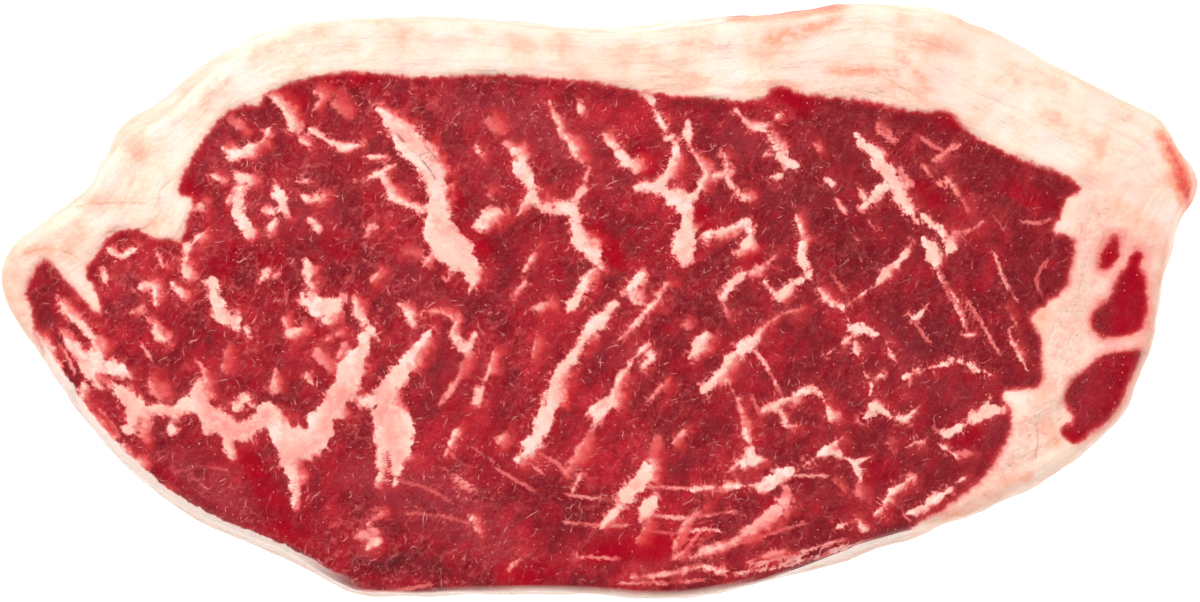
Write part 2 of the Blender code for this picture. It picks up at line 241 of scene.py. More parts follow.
TAIL_SIDE = (
    stroke(
        1.0, (851, 134, 3), (859, 144, 5.5), (870, 153, 8), (881, 169, 9), (889, 184, 9), (898, 199, 8),
        (907, 213, 6), (914, 225, 2),
    ),
    stroke(0.45, (876, 130, 6), (888, 141, 7)),
    stroke(0.5, (895, 170, 4), (911, 188, 4)),
    stroke(0.95, (882, 186, 7), (873, 193, 4.5), (866, 202, 5), (859, 208, 3)),
    stroke(0.9, (853, 187, 1.6), (859, 196, 3), (866, 203, 3)),
    stroke(0.9, (918, 217, 3), (931, 227, 5), (941, 239, 6), (945, 248, 7)),
    stroke(1.0, (920, 241, 5), (928, 251, 8), (931, 261, 6)),
    stroke(0.75, (908, 242, 2.5), (900, 256, 3.5), (883, 271, 5), (872, 285, 2)),
    stroke(0.5, (950, 234, 5), (964, 231, 4), (975, 224, 3)),
    stroke(0.85, (948, 294, 3), (951, 299, 2.5)),
    stroke(0.8, (960, 335, 2), (966, 334, 2.5)),
    stroke(0.5, (1000, 306, 2), (1010, 323, 2)),
    stroke(0.85, (1003, 331, 2), (1010, 348, 3.2), (1020, 366, 2)),
    stroke(0.5, (930, 161, 4), (945, 152, 5), (957, 146, 4)),
    stroke(0.55, (941, 178, 3), (953, 193, 4), (962, 211, 3.5)),
    stroke(0.5, (916, 163, 1.6), (926, 176, 2.5), (938, 188, 1.6)),
    stroke(0.5, (982, 208, 2), (997, 229, 2)),
    stroke(0.8, (825, 181, 4), (829, 185, 3)),
    stroke(0.7, (811, 146, 2.5), (814, 149, 2)),
    stroke(0.6, (833, 201, 3), (841, 212, 3)),
    stroke(0.6, (851, 238, 2.5), (855, 241, 2)),
    stroke(0.5, (866, 224, 2), (869, 227, 2)),
    stroke(0.85, (817, 290, 2.5), (826, 301, 3.5), (838, 307, 3.5), (845, 320, 1.6), (850, 328, 3)),
    stroke(0.8, (840, 307, 2), (852, 298, 1.8), (862, 291, 1.6)),
    stroke(1.0, (847, 329, 5), (858, 328, 7), (873, 333, 3.5)),
    stroke(0.9, (850, 334, 5), (837, 344, 3), (823, 353, 1.6)),
    stroke(
        0.9, (851, 342, 4), (853, 353, 3.2), (859, 362, 2), (861, 373, 2.2), (867, 379, 3),
        (867, 390, 3),
    ),
    stroke(0.8, (867, 377, 2), (877, 374, 2.5)),
    stroke(1.0, (871, 401, 4), (867, 411, 6), (860, 416, 3)),
    stroke(0.9, (872, 406, 5), (882, 411, 3.5), (890, 416, 3.5), (902, 417, 4)),
    stroke(0.8, (902, 416, 1.8), (913, 406, 1.6)),
    stroke(0.75, (881, 340, 1.6), (887, 353, 3.5), (895, 364, 1.6)),
    stroke(0.9, (903, 311, 1.8), (910, 318, 3.5), (922, 306, 1.6)),
    stroke(
        0.95, (901, 376, 4), (907, 370, 5), (915, 367, 4.5), (928, 366, 3.2), (944, 362, 4), (959, 361, 4),
        (971, 369, 3.8), (983, 372, 2.2),
    ),
    stroke(0.6, (899, 394, 1.6), (907, 381, 1.6)),
    stroke(
        0.95, (934, 427, 2), (944, 430, 5), (956, 423, 5.5), (967, 416, 6), (980, 408, 7.5),
        (998, 406, 5),
    ),
    stroke(0.9, (982, 404, 4.5), (985, 394, 3)),
)
FRONT_RIGHT = (
    stroke(
        0.95, (757, 411, 2), (777, 401, 5.5), (791, 396, 4), (803, 388, 4.5), (818, 395, 3.5),
        (822, 401, 2),
        (828, 414, 5),
    ),
    stroke(0.7, (776, 406, 3), (786, 422, 2.5)),
    stroke(0.8, (782, 424, 2.2), (793, 424, 2.2)),
    stroke(0.9, (836, 437, 3), (825, 447, 4.5), (815, 453, 3), (803, 461, 1.6)),
    stroke(0.9, (829, 449, 4.5), (840, 455, 3), (849, 460, 4), (853, 469, 4.5), (857, 478, 3)),
    stroke(0.8, (853, 460, 3), (865, 455, 2)),
    stroke(0.95, (789, 467, 3.5), (780, 474, 8), (769, 479, 8), (758, 484, 5)),
    stroke(0.55, (779, 481, 5), (789, 495, 4)),
    stroke(0.7, (829, 478, 2), (838, 485, 2)),
    stroke(0.45, (855, 482, 5), (857, 492, 6)),
    stroke(0.85, (903, 444, 3), (918, 438, 3.5)),
    stroke(0.85, (935, 442, 2.5), (945, 448, 4.5), (953, 454, 3)),
    stroke(0.4, (953, 450, 5), (967, 450, 3)),
    stroke(0.6, (885, 442, 3), (888, 448, 3)),
    stroke(0.9, (906, 476, 2), (893, 485, 4.5), (884, 494, 5), (878, 504, 4.5), (869, 513, 3.5)),
    stroke(0.9, (945, 487, 3), (931, 496, 5.5), (919, 504, 5.5), (906, 510, 3.5)),
    stroke(0.75, (955, 478, 3.5), (960, 475, 3)),
    stroke(0.75, (837, 523, 3), (851, 517, 3.5)),
    stroke(0.85, (856, 521, 4), (861, 525, 3.5)),
    stroke(0.6, (783, 498, 8), (770, 510, 9), (757, 521, 8.5), (744, 530, 6), (733, 539, 3.5)),
    stroke(0.65, (722, 542, 3.5), (706, 548, 4.5), (692, 552, 2.5)),
    stroke(0.6, (683, 548, 3), (674, 554, 3)),
    stroke(0.5, (782, 548, 4), (766, 552, 3), (750, 556, 2)),
    stroke(0.6, (633, 573, 3), (667, 570, 3.2), (694, 564, 2.5)),
    stroke(0.9, (705, 564, 3.2), (715, 567, 4.5), (723, 567, 2)),
    stroke(0.85, (693, 487, 2), (721, 484, 2.6), (744, 483, 2.6), (760, 481, 3)),
    stroke(0.55, (697, 502, 4), (692, 513, 4.5), (684, 522, 4.5), (678, 533, 4.5), (672, 545, 3)),
    stroke(0.55, (699, 529, 3), (689, 539, 2.5)),
)
MIDDLE = (
    stroke(
        1.0, (615, 303, 4), (607, 312, 6), (597, 322, 7), (587, 334, 6), (576, 350, 5), (565, 367, 5.5),
        (557, 382, 8), (550, 403, 9.5), (545, 424, 9), (534, 440, 8), (520, 457, 4),
    ),
    stroke(1.0, (641, 275, 4.5), (633, 284, 6), (624, 292, 4)),
    stroke(1.0, (626, 291, 4), (637, 300, 5)),
    stroke(0.75, (661, 294, 1.6), (652, 304, 3), (643, 313, 3.5), (633, 325, 3), (621, 337, 2)),
    stroke(0.6, (664, 285, 4), (656, 294, 3)),
    stroke(0.75, (647, 342, 1.8), (637, 353, 2.2)),
    stroke(0.85, (652, 355, 4), (643, 365, 3)),
    stroke(
        0.85, (630, 362, 4), (621, 374, 3), (615, 387, 4.5), (610, 401, 7), (604, 409, 6),
        (595, 421, 2.5),
    ),
    stroke(0.95, (610, 398, 7), (601, 402, 5), (588, 411, 2.2)),
    stroke(0.5, (592, 428, 3), (580, 446, 4.5), (572, 461, 5.5), (567, 470, 4)),
    stroke(0.75, (580, 472, 3.2), (574, 485, 1.6)),
    stroke(0.6, (663, 382, 1.6), (649, 397, 2)),
    stroke(0.95, (704, 334, 5), (697, 345, 5.5), (690, 354, 3)),
    stroke(0.5, (685, 324, 4), (686, 327, 4)),
    stroke(1.0, (755, 336, 5), (742, 346, 7), (731, 355, 6), (722, 370, 5), (712, 379, 5), (701, 388, 4)),
    stroke(0.55, (757, 335, 3), (765, 323, 2.2), (782, 313, 1.8), (798, 308, 1.6)),
    stroke(0.7, (723, 372, 1.6), (731, 390, 1.8), (738, 405, 2.2), (742, 420, 3)),
    stroke(0.75, (721, 295, 5), (730, 283, 5.5), (742, 273, 5)),
    stroke(0.65, (746, 275, 3), (759, 269, 4.5), (771, 257, 3)),
    stroke(0.5, (721, 300, 2), (725, 314, 1.6)),
    stroke(0.9, (751, 242, 5), (738, 252, 4)),
    stroke(0.9, (742, 420, 3.5), (745, 431, 4.5), (748, 443, 3.5), (750, 453, 5)),
    stroke(0.9, (757, 457, 5.5), (745, 460, 6.5), (736, 462, 3.5), (727, 468, 1.6)),
    stroke(0.45, (655, 436, 5), (648, 451, 5)),
    stroke(0.95, (650, 464, 5.5), (641, 477, 8.5), (630, 489, 8), (619, 502, 6), (603, 522, 3)),
    stroke(1.0, (653, 497, 5), (647, 506, 7), (640, 516, 2.5)),
    stroke(0.5, (646, 520, 2.5), (637, 536, 2)),
    stroke(0.6, (682, 430, 2.5), (673, 438, 2)),
    stroke(0.95, (458, 320, 2.5), (455, 333, 3.5), (463, 345, 6), (468, 353, 3)),
    stroke(0.95, (476, 333, 4), (469, 347, 4)),
    stroke(0.55, (466, 358, 2), (461, 373, 2.2), (452, 388, 3.5), (443, 401, 4)),
    stroke(0.7, (495, 353, 2), (490, 370, 3), (482, 385, 4.5), (477, 401, 4.5)),
    stroke(0.85, (458, 430, 2.5), (452, 441, 3), (447, 451, 1.6)),
    stroke(0.7, (504, 434, 4), (501, 438, 4)),
    stroke(0.7, (536, 252, 1.6), (530, 262, 2.5), (524, 271, 3)),
    stroke(0.65, (526, 282, 2.5), (517, 294, 1.6)),
    stroke(0.6, (538, 308, 4.5), (549, 303, 4)),
    stroke(0.6, (536, 341, 2), (533, 353, 1.6)),
    stroke(0.85, (402, 305, 2), (410, 311, 5), (415, 323, 3.5)),
    stroke(0.7, (426, 310, 1.6), (446, 312, 2), (456, 320, 1.6)),
    stroke(0.5, (369, 235, 3), (377, 228, 4)),
    stroke(0.6, (374, 281, 2.5), (381, 272, 2.5)),
    stroke(0.35, (417, 253, 3), (403, 250, 3)),
)
FRONT_SEAM = (
    stroke(
        1.0, (367, 337, 6), (361, 354, 10), (354, 373, 13), (346, 390, 13), (336, 404, 12),
        (327, 416, 12),
    ),
    stroke(
        1.0, (431, 332, 3), (421, 346, 6), (413, 358, 8), (403, 371, 9), (391, 386, 9), (388, 400, 12),
        (392, 414, 17), (397, 430, 19), (401, 443, 13), (401, 458, 8), (397, 477, 3),
    ),
    stroke(0.85, (388, 440, 8), (386, 452, 6), (381, 478, 3)),
    stroke(0.9, (352, 396, 6), (366, 399, 6), (380, 400, 8)),
    stroke(
        1.0, (327, 416, 12), (322, 432, 13), (310, 441, 14), (300, 444, 14), (291, 452, 12), (296, 470, 8),
        (298, 487, 6), (297, 502, 2),
    ),
    stroke(
        1.0, (303, 438, 14), (288, 436, 12), (279, 420, 12), (270, 412, 10), (257, 424, 10), (241, 430, 10),
        (227, 424, 11), (213, 411, 11), (204, 398, 11), (203, 388, 7),
    ),
    stroke(1.0, (227, 428, 9), (231, 440, 6), (235, 452, 3)),
    stroke(
        1.0, (204, 400, 10), (191, 405, 8), (176, 409, 6), (161, 407, 6), (147, 408, 8), (138, 402, 10),
        (130, 390, 8), (119, 382, 4),
    ),
    stroke(0.9, (140, 408, 9), (138, 420, 8), (132, 428, 4)),
    stroke(0.6, (158, 408, 6), (152, 420, 5), (148, 436, 4)),
    stroke(0.9, (176, 424, 4), (176, 431, 3)),
    stroke(0.85, (210, 424, 5), (211, 430, 5)),
    stroke(0.85, (98, 364, 8), (113, 366, 8), (126, 369, 5.5), (136, 375, 3)),
    stroke(0.9, (81, 319, 2.5), (92, 329, 5), (101, 340, 5), (105, 352, 6), (99, 362, 8)),
    stroke(0.85, (70, 334, 2.5), (80, 346, 5), (87, 358, 7), (96, 368, 8), (101, 378, 5), (106, 386, 3)),
    stroke(0.5, (107, 376, 5), (116, 384, 5)),
    stroke(0.8, (90, 384, 3), (88, 396, 3), (87, 408, 3)),
    stroke(0.7, (155, 379, 2.5), (156, 392, 3.5)),
    stroke(0.6, (204, 362, 2), (211, 379, 3)),
    stroke(0.45, (160, 390, 8), (166, 396, 6)),
    stroke(1.0, (40, 332, 4), (51, 350, 8), (60, 368, 9), (69, 386, 5)),
    stroke(
        1.0, (86, 404, 3), (103, 426, 6), (122, 448, 8), (139, 466, 10), (152, 482, 7), (172, 503, 5),
        (198, 522, 5),
        (230, 538, 5), (262, 550, 4), (290, 563, 3),
    ),
    stroke(0.9, (371, 543, 4), (378, 538, 4)),
    stroke(0.5, (363, 533, 6), (378, 528, 5)),
    stroke(0.6, (370, 521, 2), (382, 512, 3)),
    stroke(0.85, (474, 518, 4), (478, 526, 2)),
    stroke(0.6, (512, 562, 5), (519, 556, 3)),
    stroke(0.5, (578, 552, 4), (582, 554, 4)),
)
MARBLING = LEFT_LOBE + UPPER_LEFT + BACK + TAIL_SIDE + FRONT_RIGHT + MIDDLE + FRONT_SEAM

# Threads of connective tissue, too thin to have an edge of their own
THREADS = (
    stroke(0.9, (930, 266, 1.2), (942, 290, 1.2), (953, 310, 1.2), (964, 334, 1.2)),
    stroke(0.5, (935, 270, 0.8), (949, 296, 0.8), (962, 322, 0.8)),
    stroke(0.7, (963, 300, 0.9), (977, 324, 1.0), (992, 350, 0.9)),
    stroke(0.75, (989, 254, 1.2), (1000, 283, 1.5), (1010, 298, 1.4)),
    stroke(0.6, (917, 140, 1.3), (940, 154, 1.2)),
    stroke(0.6, (910, 322, 1.0), (918, 333, 1.0), (924, 340, 1.0)),
    stroke(0.85, (753, 350, 1.3), (765, 367, 1.5), (780, 396, 1.3)),
    stroke(0.6, (750, 396, 1.0), (757, 411, 1.0)),
    stroke(0.7, (789, 473, 0.9), (822, 473, 0.9)),
    stroke(0.7, (649, 484, 0.9), (672, 485, 0.9), (695, 486, 0.9)),
    stroke(0.8, (650, 512, 1.0), (679, 515, 1.3), (705, 512, 1.0), (733, 509, 1.0)),
    stroke(0.85, (648, 527, 1.0), (670, 530, 1.5), (698, 527, 1.1), (717, 527, 1.0)),
    stroke(0.7, (568, 492, 0.9), (591, 495, 0.9), (616, 498, 0.9)),
    stroke(0.7, (566, 519, 0.9), (595, 522, 0.9), (626, 522, 0.9)),
    stroke(0.65, (588, 553, 1.2), (618, 555, 1.2)),
    stroke(0.9, (735, 570, 1.6), (768, 564, 1.8), (800, 557, 1.8), (832, 548, 1.8), (866, 538, 1.4)),
    stroke(0.8, (748, 561, 1.2), (790, 551, 1.4), (838, 537, 1.2)),
    stroke(0.7, (620, 579, 1.2), (660, 579, 1.4), (700, 576, 1.2)),
    stroke(0.7, (445, 466, 1.2), (456, 472, 1.4), (467, 480, 1.5), (475, 486, 1.2)),
    stroke(0.6, (450, 472, 1.0), (462, 483, 1.4), (473, 489, 1.0)),
    stroke(0.6, (498, 467, 0.9), (515, 477, 0.9), (533, 487, 0.9)),
    stroke(0.7, (519, 459, 1.0), (531, 462, 1.0), (542, 470, 1.0)),
    stroke(0.6, (452, 451, 1.0), (461, 459, 1.0), (470, 464, 1.0)),
    stroke(0.5, (475, 446, 1.0), (484, 452, 1.0), (492, 458, 1.0)),
    stroke(0.6, (539, 451, 1.0), (556, 460, 1.0), (571, 476, 1.0)),
    stroke(0.7, (147, 344, 0.9), (156, 357, 0.9)),
    stroke(0.35, (352, 500, 0.6), (366, 507, 0.6), (382, 506, 0.6)),
    stroke(0.35, (402, 478, 0.6), (430, 486, 0.6), (452, 499, 0.6)),
    stroke(0.35, (410, 510, 0.6), (440, 512, 0.6), (470, 520, 0.6)),
    stroke(0.25, (180, 470, 0.5), (206, 464, 0.5), (232, 468, 0.5)),
    stroke(0.7, (66, 344, 1.2), (74, 356, 1.6), (80, 370, 1.2)),
    stroke(0.7, (103, 406, 1.2), (114, 418, 1.6), (124, 432, 1.2)),
    stroke(0.6, (720, 545, 1.0), (760, 533, 1.0), (800, 520, 1.0)),
    stroke(0.6, (362, 588, 1.5), (385, 588, 1.5), (408, 585, 1.4), (432, 580, 1.2)),
    stroke(0.5, (828, 275, 0.9), (840, 290, 0.9), (848, 305, 0.9)),
    stroke(0.5, (1040, 262, 0.9), (1030, 280, 0.9), (1036, 296, 0.9)),
    stroke(0.6, (1018, 222, 1.0), (1030, 224, 1.0), (1042, 221, 1.0)),
)

# Folds and cracks: sunk into the relief, and painted darker along their lines as shade in the folds
CREASES = (
    stroke(0.8, (80, 207, 1.2), (100, 205, 1.4), (127, 204, 1.2), (147, 204, 1.0)),
    stroke(0.7, (28, 257, 1.2), (50, 249, 1.4), (68, 251, 1.2), (84, 258, 1.0)),
    stroke(0.7, (114, 233, 1.2), (130, 232, 1.2), (145, 231, 1.2), (160, 223, 1.0)),
    stroke(0.4, (187, 175, 1.0), (171, 186, 1.0), (165, 196, 1.0), (164, 211, 1.0), (159, 224, 1.0)),
    stroke(0.5, (124, 166, 1.2), (150, 128, 1.2), (175, 99, 1.2), (205, 74, 1.0)),
    stroke(0.5, (560, 37, 1.2), (600, 38, 1.2), (640, 36, 1.2), (700, 29, 1.2), (744, 23, 1.0)),
    stroke(0.4, (621, 66, 1.2), (650, 66, 1.2), (667, 70, 1.2), (698, 83, 1.2), (736, 93, 1.0)),
    stroke(0.4, (742, 86, 1.2), (756, 75, 1.2), (775, 71, 1.2), (800, 70, 1.0)),
    stroke(0.7, (880, 80, 1.2), (900, 92, 1.4), (915, 99, 1.2)),
    stroke(0.5, (1150, 122, 1.2), (1170, 136, 1.2), (1185, 158, 1.2), (1191, 172, 1.0)),
    stroke(0.8, (1031, 421, 1.2), (1032, 437, 1.2), (1030, 454, 1.2)),
    stroke(0.9, (399, 136, 1.0), (413, 151, 1.3), (426, 164, 1.2), (436, 178, 1.0)),
    stroke(0.7, (429, 150, 1.2), (437, 159, 1.4)),
    stroke(0.8, (222, 290, 1.2), (224, 298, 1.4)),
    stroke(0.4, (1018, 170, 1.2), (1045, 178, 1.2), (1062, 184, 1.0)),
    stroke(0.5, (845, 92, 1.0), (875, 97, 1.2), (905, 106, 1.0)),
)

# Small islands of lean inside the tail's fat
LEAN_ISLANDS = (
    stroke(1.0, (1109, 241, 5), (1104, 254, 9), (1098, 265, 6)),
    stroke(1.0, (1064, 430, 9), (1070, 434, 8)),
)

# Soft patches of tone on the lean
BRIGHT_PATCHES = (
    stroke(0.9, (190, 188, 8), (196, 198, 7)),
    stroke(0.8, (228, 267, 12), (236, 255, 9)),
    stroke(0.9, (292, 94, 9), (302, 102, 11)),
    stroke(0.8, (330, 82, 6), (350, 79, 8), (375, 83, 8)),
    stroke(1.0, (474, 236, 10), (483, 247, 9)),
    stroke(0.6, (455, 188, 6), (460, 215, 7)),
    stroke(0.9, (642, 158, 9), (648, 170, 10)),
    stroke(0.8, (698, 214, 8), (703, 226, 7)),
    stroke(1.0, (597, 234, 8), (609, 252, 11), (618, 262, 6)),
    stroke(0.8, (747, 262, 8), (756, 258, 6)),
    stroke(0.6, (917, 190, 9), (930, 200, 12)),
    stroke(0.9, (780, 96, 9), (803, 106, 11)),
    stroke(0.7, (938, 118, 8), (950, 124, 8)),
    stroke(0.4, (866, 474, 13), (882, 470, 15)),
    stroke(0.8, (951, 440, 9), (966, 436, 9)),
    stroke(1.0, (596, 550, 8), (630, 545, 12), (672, 539, 13), (690, 532, 7)),
    stroke(0.7, (250, 453, 8), (266, 478, 13), (283, 510, 15), (302, 530, 13)),
    stroke(0.9, (316, 418, 8), (319, 424, 8)),
    stroke(0.7, (268, 258, 10), (280, 262, 9)),
    stroke(0.7, (338, 245, 11), (352, 252, 9)),
    stroke(0.6, (316, 330, 8), (326, 336, 7)),
    stroke(0.8, (1131, 262, 10), (1128, 290, 18), (1118, 322, 18)),
    stroke(0.5, (1120, 362, 12), (1098, 392, 20), (1085, 420, 14)),
    stroke(1.0, (1106, 246, 8), (1100, 262, 9)),
    stroke(0.9, (1066, 431, 7), (1070, 436, 7)),
    stroke(0.8, (505, 566, 10), (540, 576, 13)),
    stroke(0.7, (556, 404, 4), (566, 396, 6)),
    stroke(0.6, (770, 500, 7), (760, 528, 8)),
    stroke(0.5, (1000, 190, 10), (1040, 205, 9)),
    stroke(0.6, (170, 470, 7), (190, 495, 8)),
    stroke(-1.0, (360, 556, 6), (384, 562, 10), (412, 556, 12), (440, 566, 8)),
    stroke(-0.5, (860, 250, 16), (880, 300, 20), (930, 340, 18)),
    stroke(-0.5, (1000, 205, 12), (1020, 245, 16), (1000, 290, 14)),
    stroke(-0.6, (320, 104, 5), (336, 112, 5)),
    stroke(-0.5, (470, 300, 14), (440, 350, 12)),
    stroke(-0.4, (700, 320, 14), (740, 310, 14)),
    stroke(-0.5, (250, 150, 8), (262, 165, 10)),
    stroke(-0.4, (800, 200, 16), (840, 240, 14)),
    stroke(-0.7, (315, 182, 14), (350, 196, 16)),
    stroke(-0.7, (138, 284, 9), (146, 316, 9)),
    stroke(-0.5, (280, 540, 6), (320, 566, 7), (350, 580, 6)),
)
DULL_PATCHES = (
    stroke(0.8, (185, 462, 12), (215, 488, 17), (240, 505, 14)),
    stroke(0.7, (480, 160, 11), (497, 178, 11)),
    stroke(0.7, (600, 165, 9), (612, 178, 10)),
    stroke(0.7, (730, 136, 14), (748, 145, 12)),
    stroke(0.9, (360, 470, 14), (420, 490, 26), (480, 520, 24), (500, 545, 20)),
    stroke(0.9, (450, 104, 12), (480, 112, 16), (530, 122, 20), (565, 148, 16), (600, 140, 12)),
    stroke(0.5, (210, 130, 14), (260, 200, 18), (330, 215, 16)),
    stroke(0.6, (882, 326, 14), (900, 346, 13)),
    stroke(0.6, (932, 384, 11), (955, 398, 10)),
    stroke(0.7, (1088, 390, 12), (1076, 414, 11)),
    stroke(0.7, (992, 420, 8), (990, 432, 8)),
    stroke(0.7, (775, 190, 9), (795, 196, 9)),
    stroke(0.5, (400, 272, 12), (425, 292, 13)),
    stroke(0.5, (140, 290, 9), (130, 300, 9)),
    stroke(0.5, (590, 345, 8), (630, 345, 9)),
)

# Soft patches on the fat: blood and peach smudges, and the wet rosy fat of the tail
PEACH_PATCHES = (
    stroke(0.7, (206, 108, 5), (216, 96, 6), (230, 85, 5)),
    stroke(0.8, (88, 203, 3), (104, 201, 5), (126, 204, 3)),
    stroke(0.8, (32, 253, 3), (50, 250, 4), (70, 253, 4), (84, 258, 2)),
    stroke(0.7, (118, 232, 3), (142, 234, 4), (156, 225, 3)),
    stroke(0.5, (20, 258, 4), (21, 278, 5), (30, 300, 4)),
    stroke(0.6, (680, 47, 4), (704, 47, 5), (726, 49, 3)),
    stroke(1.2, (765, 42, 4), (785, 38, 6), (806, 32, 5), (833, 22, 3)),
    stroke(0.4, (655, 66, 3), (682, 68, 3)),
    stroke(0.6, (735, 89, 3), (755, 91, 4)),
    stroke(1.3, (826, 73, 2), (850, 74, 3), (872, 74, 3.5), (892, 77, 2)),
    stroke(0.5, (893, 38, 5), (912, 44, 8), (930, 52, 8), (950, 50, 5)),
    stroke(0.7, (892, 85, 2), (911, 97, 2.5), (928, 108, 2.5), (943, 118, 2)),
    stroke(1.0, (893, 56, 3), (911, 75, 3), (924, 92, 3)),
    stroke(1.7, (772, 92, 5), (790, 94, 6)),
    stroke(0.3, (606, 50, 4), (622, 51, 5)),
    stroke(2.0, (1155, 137, 4), (1166, 154, 7), (1174, 176, 10), (1181, 195, 9), (1186, 208, 4)),
    stroke(0.6, (1110, 204, 5), (1127, 214, 6)),
    stroke(0.5, (1078, 171, 4), (1090, 181, 4)),
    stroke(0.4, (1122, 187, 3), (1130, 193, 3)),
    stroke(0.3, (1078, 132, 6), (1086, 139, 6)),
    stroke(0.5, (1144, 227, 5), (1156, 250, 6), (1152, 282, 4)),
    stroke(0.8, (184, 92, 2.5), (188, 86, 2)),
    stroke(0.8, (880, 80, 2), (905, 93, 3), (916, 99, 2)),
    stroke(1.3, (1028, 304, 5), (1036, 308, 5), (1034, 316, 5)),
    stroke(0.9, (1035, 330, 4), (1034, 346, 4)),
    stroke(0.8, (1034, 374, 5), (1036, 392, 5)),
    stroke(0.8, (1040, 424, 5), (1050, 438, 7)),
    stroke(0.8, (1022, 474, 6), (1000, 482, 6), (984, 492, 5)),
    stroke(0.7, (972, 500, 6), (950, 512, 6), (930, 522, 5)),
    stroke(0.9, (226, 424, 5), (240, 433, 8), (232, 443, 5)),
    stroke(0.8, (376, 374, 4), (379, 388, 4)),
    stroke(0.6, (580, 31, 3), (602, 32, 2)),
    stroke(2.4, (731, 19, 4), (765, 14, 5), (805, 11, 5), (836, 8, 4)),
    stroke(1.8, (1194, 176, 3), (1193, 200, 3)),
    stroke(0.5, (112, 150, 4), (130, 135, 3)),
    stroke(0.4, (300, 36, 5), (340, 30, 4)),
)
ROSY_PATCHES = (
    stroke(
        1.0, (1088, 212, 16), (1078, 260, 18), (1070, 310, 18), (1056, 360, 18), (1040, 400, 18),
        (1016, 450, 16), (986, 480, 12), (935, 515, 9),
    ),
    stroke(0.5, (800, 88, 5), (850, 90, 7), (900, 100, 7), (960, 126, 6)),
    stroke(0.7, (1140, 230, 10), (1152, 280, 10), (1145, 330, 8), (1136, 380, 8), (1110, 430, 8)),
    stroke(0.6, (40, 275, 12), (60, 262, 8)),
    stroke(0.4, (170, 215, 8), (180, 235, 8)),
    stroke(0.9, (205, 392, 8), (220, 418, 12), (240, 432, 10), (268, 414, 10)),
    stroke(0.8, (345, 392, 14), (335, 415, 10), (318, 440, 9), (292, 456, 10)),
    stroke(0.7, (372, 372, 12), (384, 392, 12), (388, 420, 11), (398, 452, 7)),
    stroke(0.6, (130, 395, 8), (140, 415, 7), (170, 410, 5)),
    stroke(0.5, (398, 128, 7), (424, 150, 8), (444, 184, 7)),
    stroke(0.6, (452, 232, 6), (476, 258, 7)),
    stroke(0.6, (578, 220, 6), (595, 246, 7)),
    stroke(0.5, (634, 170, 6), (660, 190, 6)),
    stroke(0.6, (886, 172, 8), (905, 196, 8)),
    stroke(0.7, (565, 440, 10), (555, 410, 6), (562, 380, 4)),
)


class Field(Enum):
    """The vertex attributes that the finish reads, three numbers in each: lengths are in millimetres."""

    EDGES = ("fat_edge", "vein_edge", "vein_along")
    WEIGHTS = ("vein_strength", "wall", "layer")
    LINES = ("thread_offset", "thread_weight", "crease_offset")
    MARKS = ("crease_weight", "bright", "dull")
    TINTS = ("peach", "rosy", "border_along")
    SHAPES = ("vein_offset", "vein_radius", "vein_side")


def smoothstep(values: np.ndarray) -> np.ndarray:
    """0 below 0, 1 above 1, and a smooth ramp between."""
    values = np.clip(values, 0.0, 1.0)
    return values * values * (3.0 - 2.0 * values)


def catmull_rom(points: np.ndarray, closed: bool, steps: int) -> np.ndarray:
    """Samples a smooth curve through points.

    Args:
        points: The points, one row each, with any number of columns.
        closed: Whether the curve runs back to its first point.
        steps: Samples on each leg between two points.

    Returns:
        The samples, one row each. An open curve ends on its last point.
    """
    count = len(points)
    legs = count if closed else count - 1
    rows = []
    for i in range(legs):
        around = [(i + k) % count if closed else min(max(i + k, 0), count - 1) for k in (-1, 0, 1, 2)]
        a, b, c, d = points[around]
        t = (np.arange(steps) / steps)[:, None]
        square, cube = 2 * a - 5 * b + 4 * c - d, 3 * b - a - 3 * c + d
        rows.append(0.5 * (2 * b + (c - a) * t + square * t**2 + cube * t**3))
    if not closed:
        rows.append(points[-1:])
    return np.concatenate(rows)


def wave(points: np.ndarray, span: float, seed: float) -> np.ndarray:
    """Smooth noise between about -1 and 1 at each point.

    Args:
        points: Places, in metres, with three columns.
        span: The size of one lump.
        seed: Which noise, as a shift along Z in lumps.

    Returns:
        One number for each point.
    """
    scaled = points / span
    scaled[:, 2] += seed
    return np.array([noise.noise(row) for row in scaled.tolist()])


def tiles(places: np.ndarray, size: float = 0.010) -> list[np.ndarray]:
    """Sorts places on the plan into square tiles, and gives the row numbers in each tile."""
    keys = np.floor(places[:, :2] / size).astype(int)
    group = np.unique(keys, axis=0, return_inverse=True)[1].ravel()
    order = np.argsort(group, kind="stable")
    return np.split(order, np.flatnonzero(np.diff(group[order])) + 1)


def leg_gaps(
    places: np.ndarray, starts: np.ndarray, legs: np.ndarray
) -> tuple[np.ndarray, np.ndarray, np.ndarray]:
    """Measures every place against every straight leg.

    Args:
        places: Places on the plan, two columns.
        starts: Where the legs start.
        legs: Where they end, less where they start.

    Returns:
        Each place as seen from each leg's start, its share of the way along the leg, and its distance.
    """
    away = places[:, None] - starts[None]
    length2 = np.maximum((legs**2).sum(-1), 1e-16)
    t = np.clip((away * legs).sum(-1) / length2, 0.0, 1.0)
    return away, t, np.hypot(*np.moveaxis(away - legs * t[..., None], -1, 0))


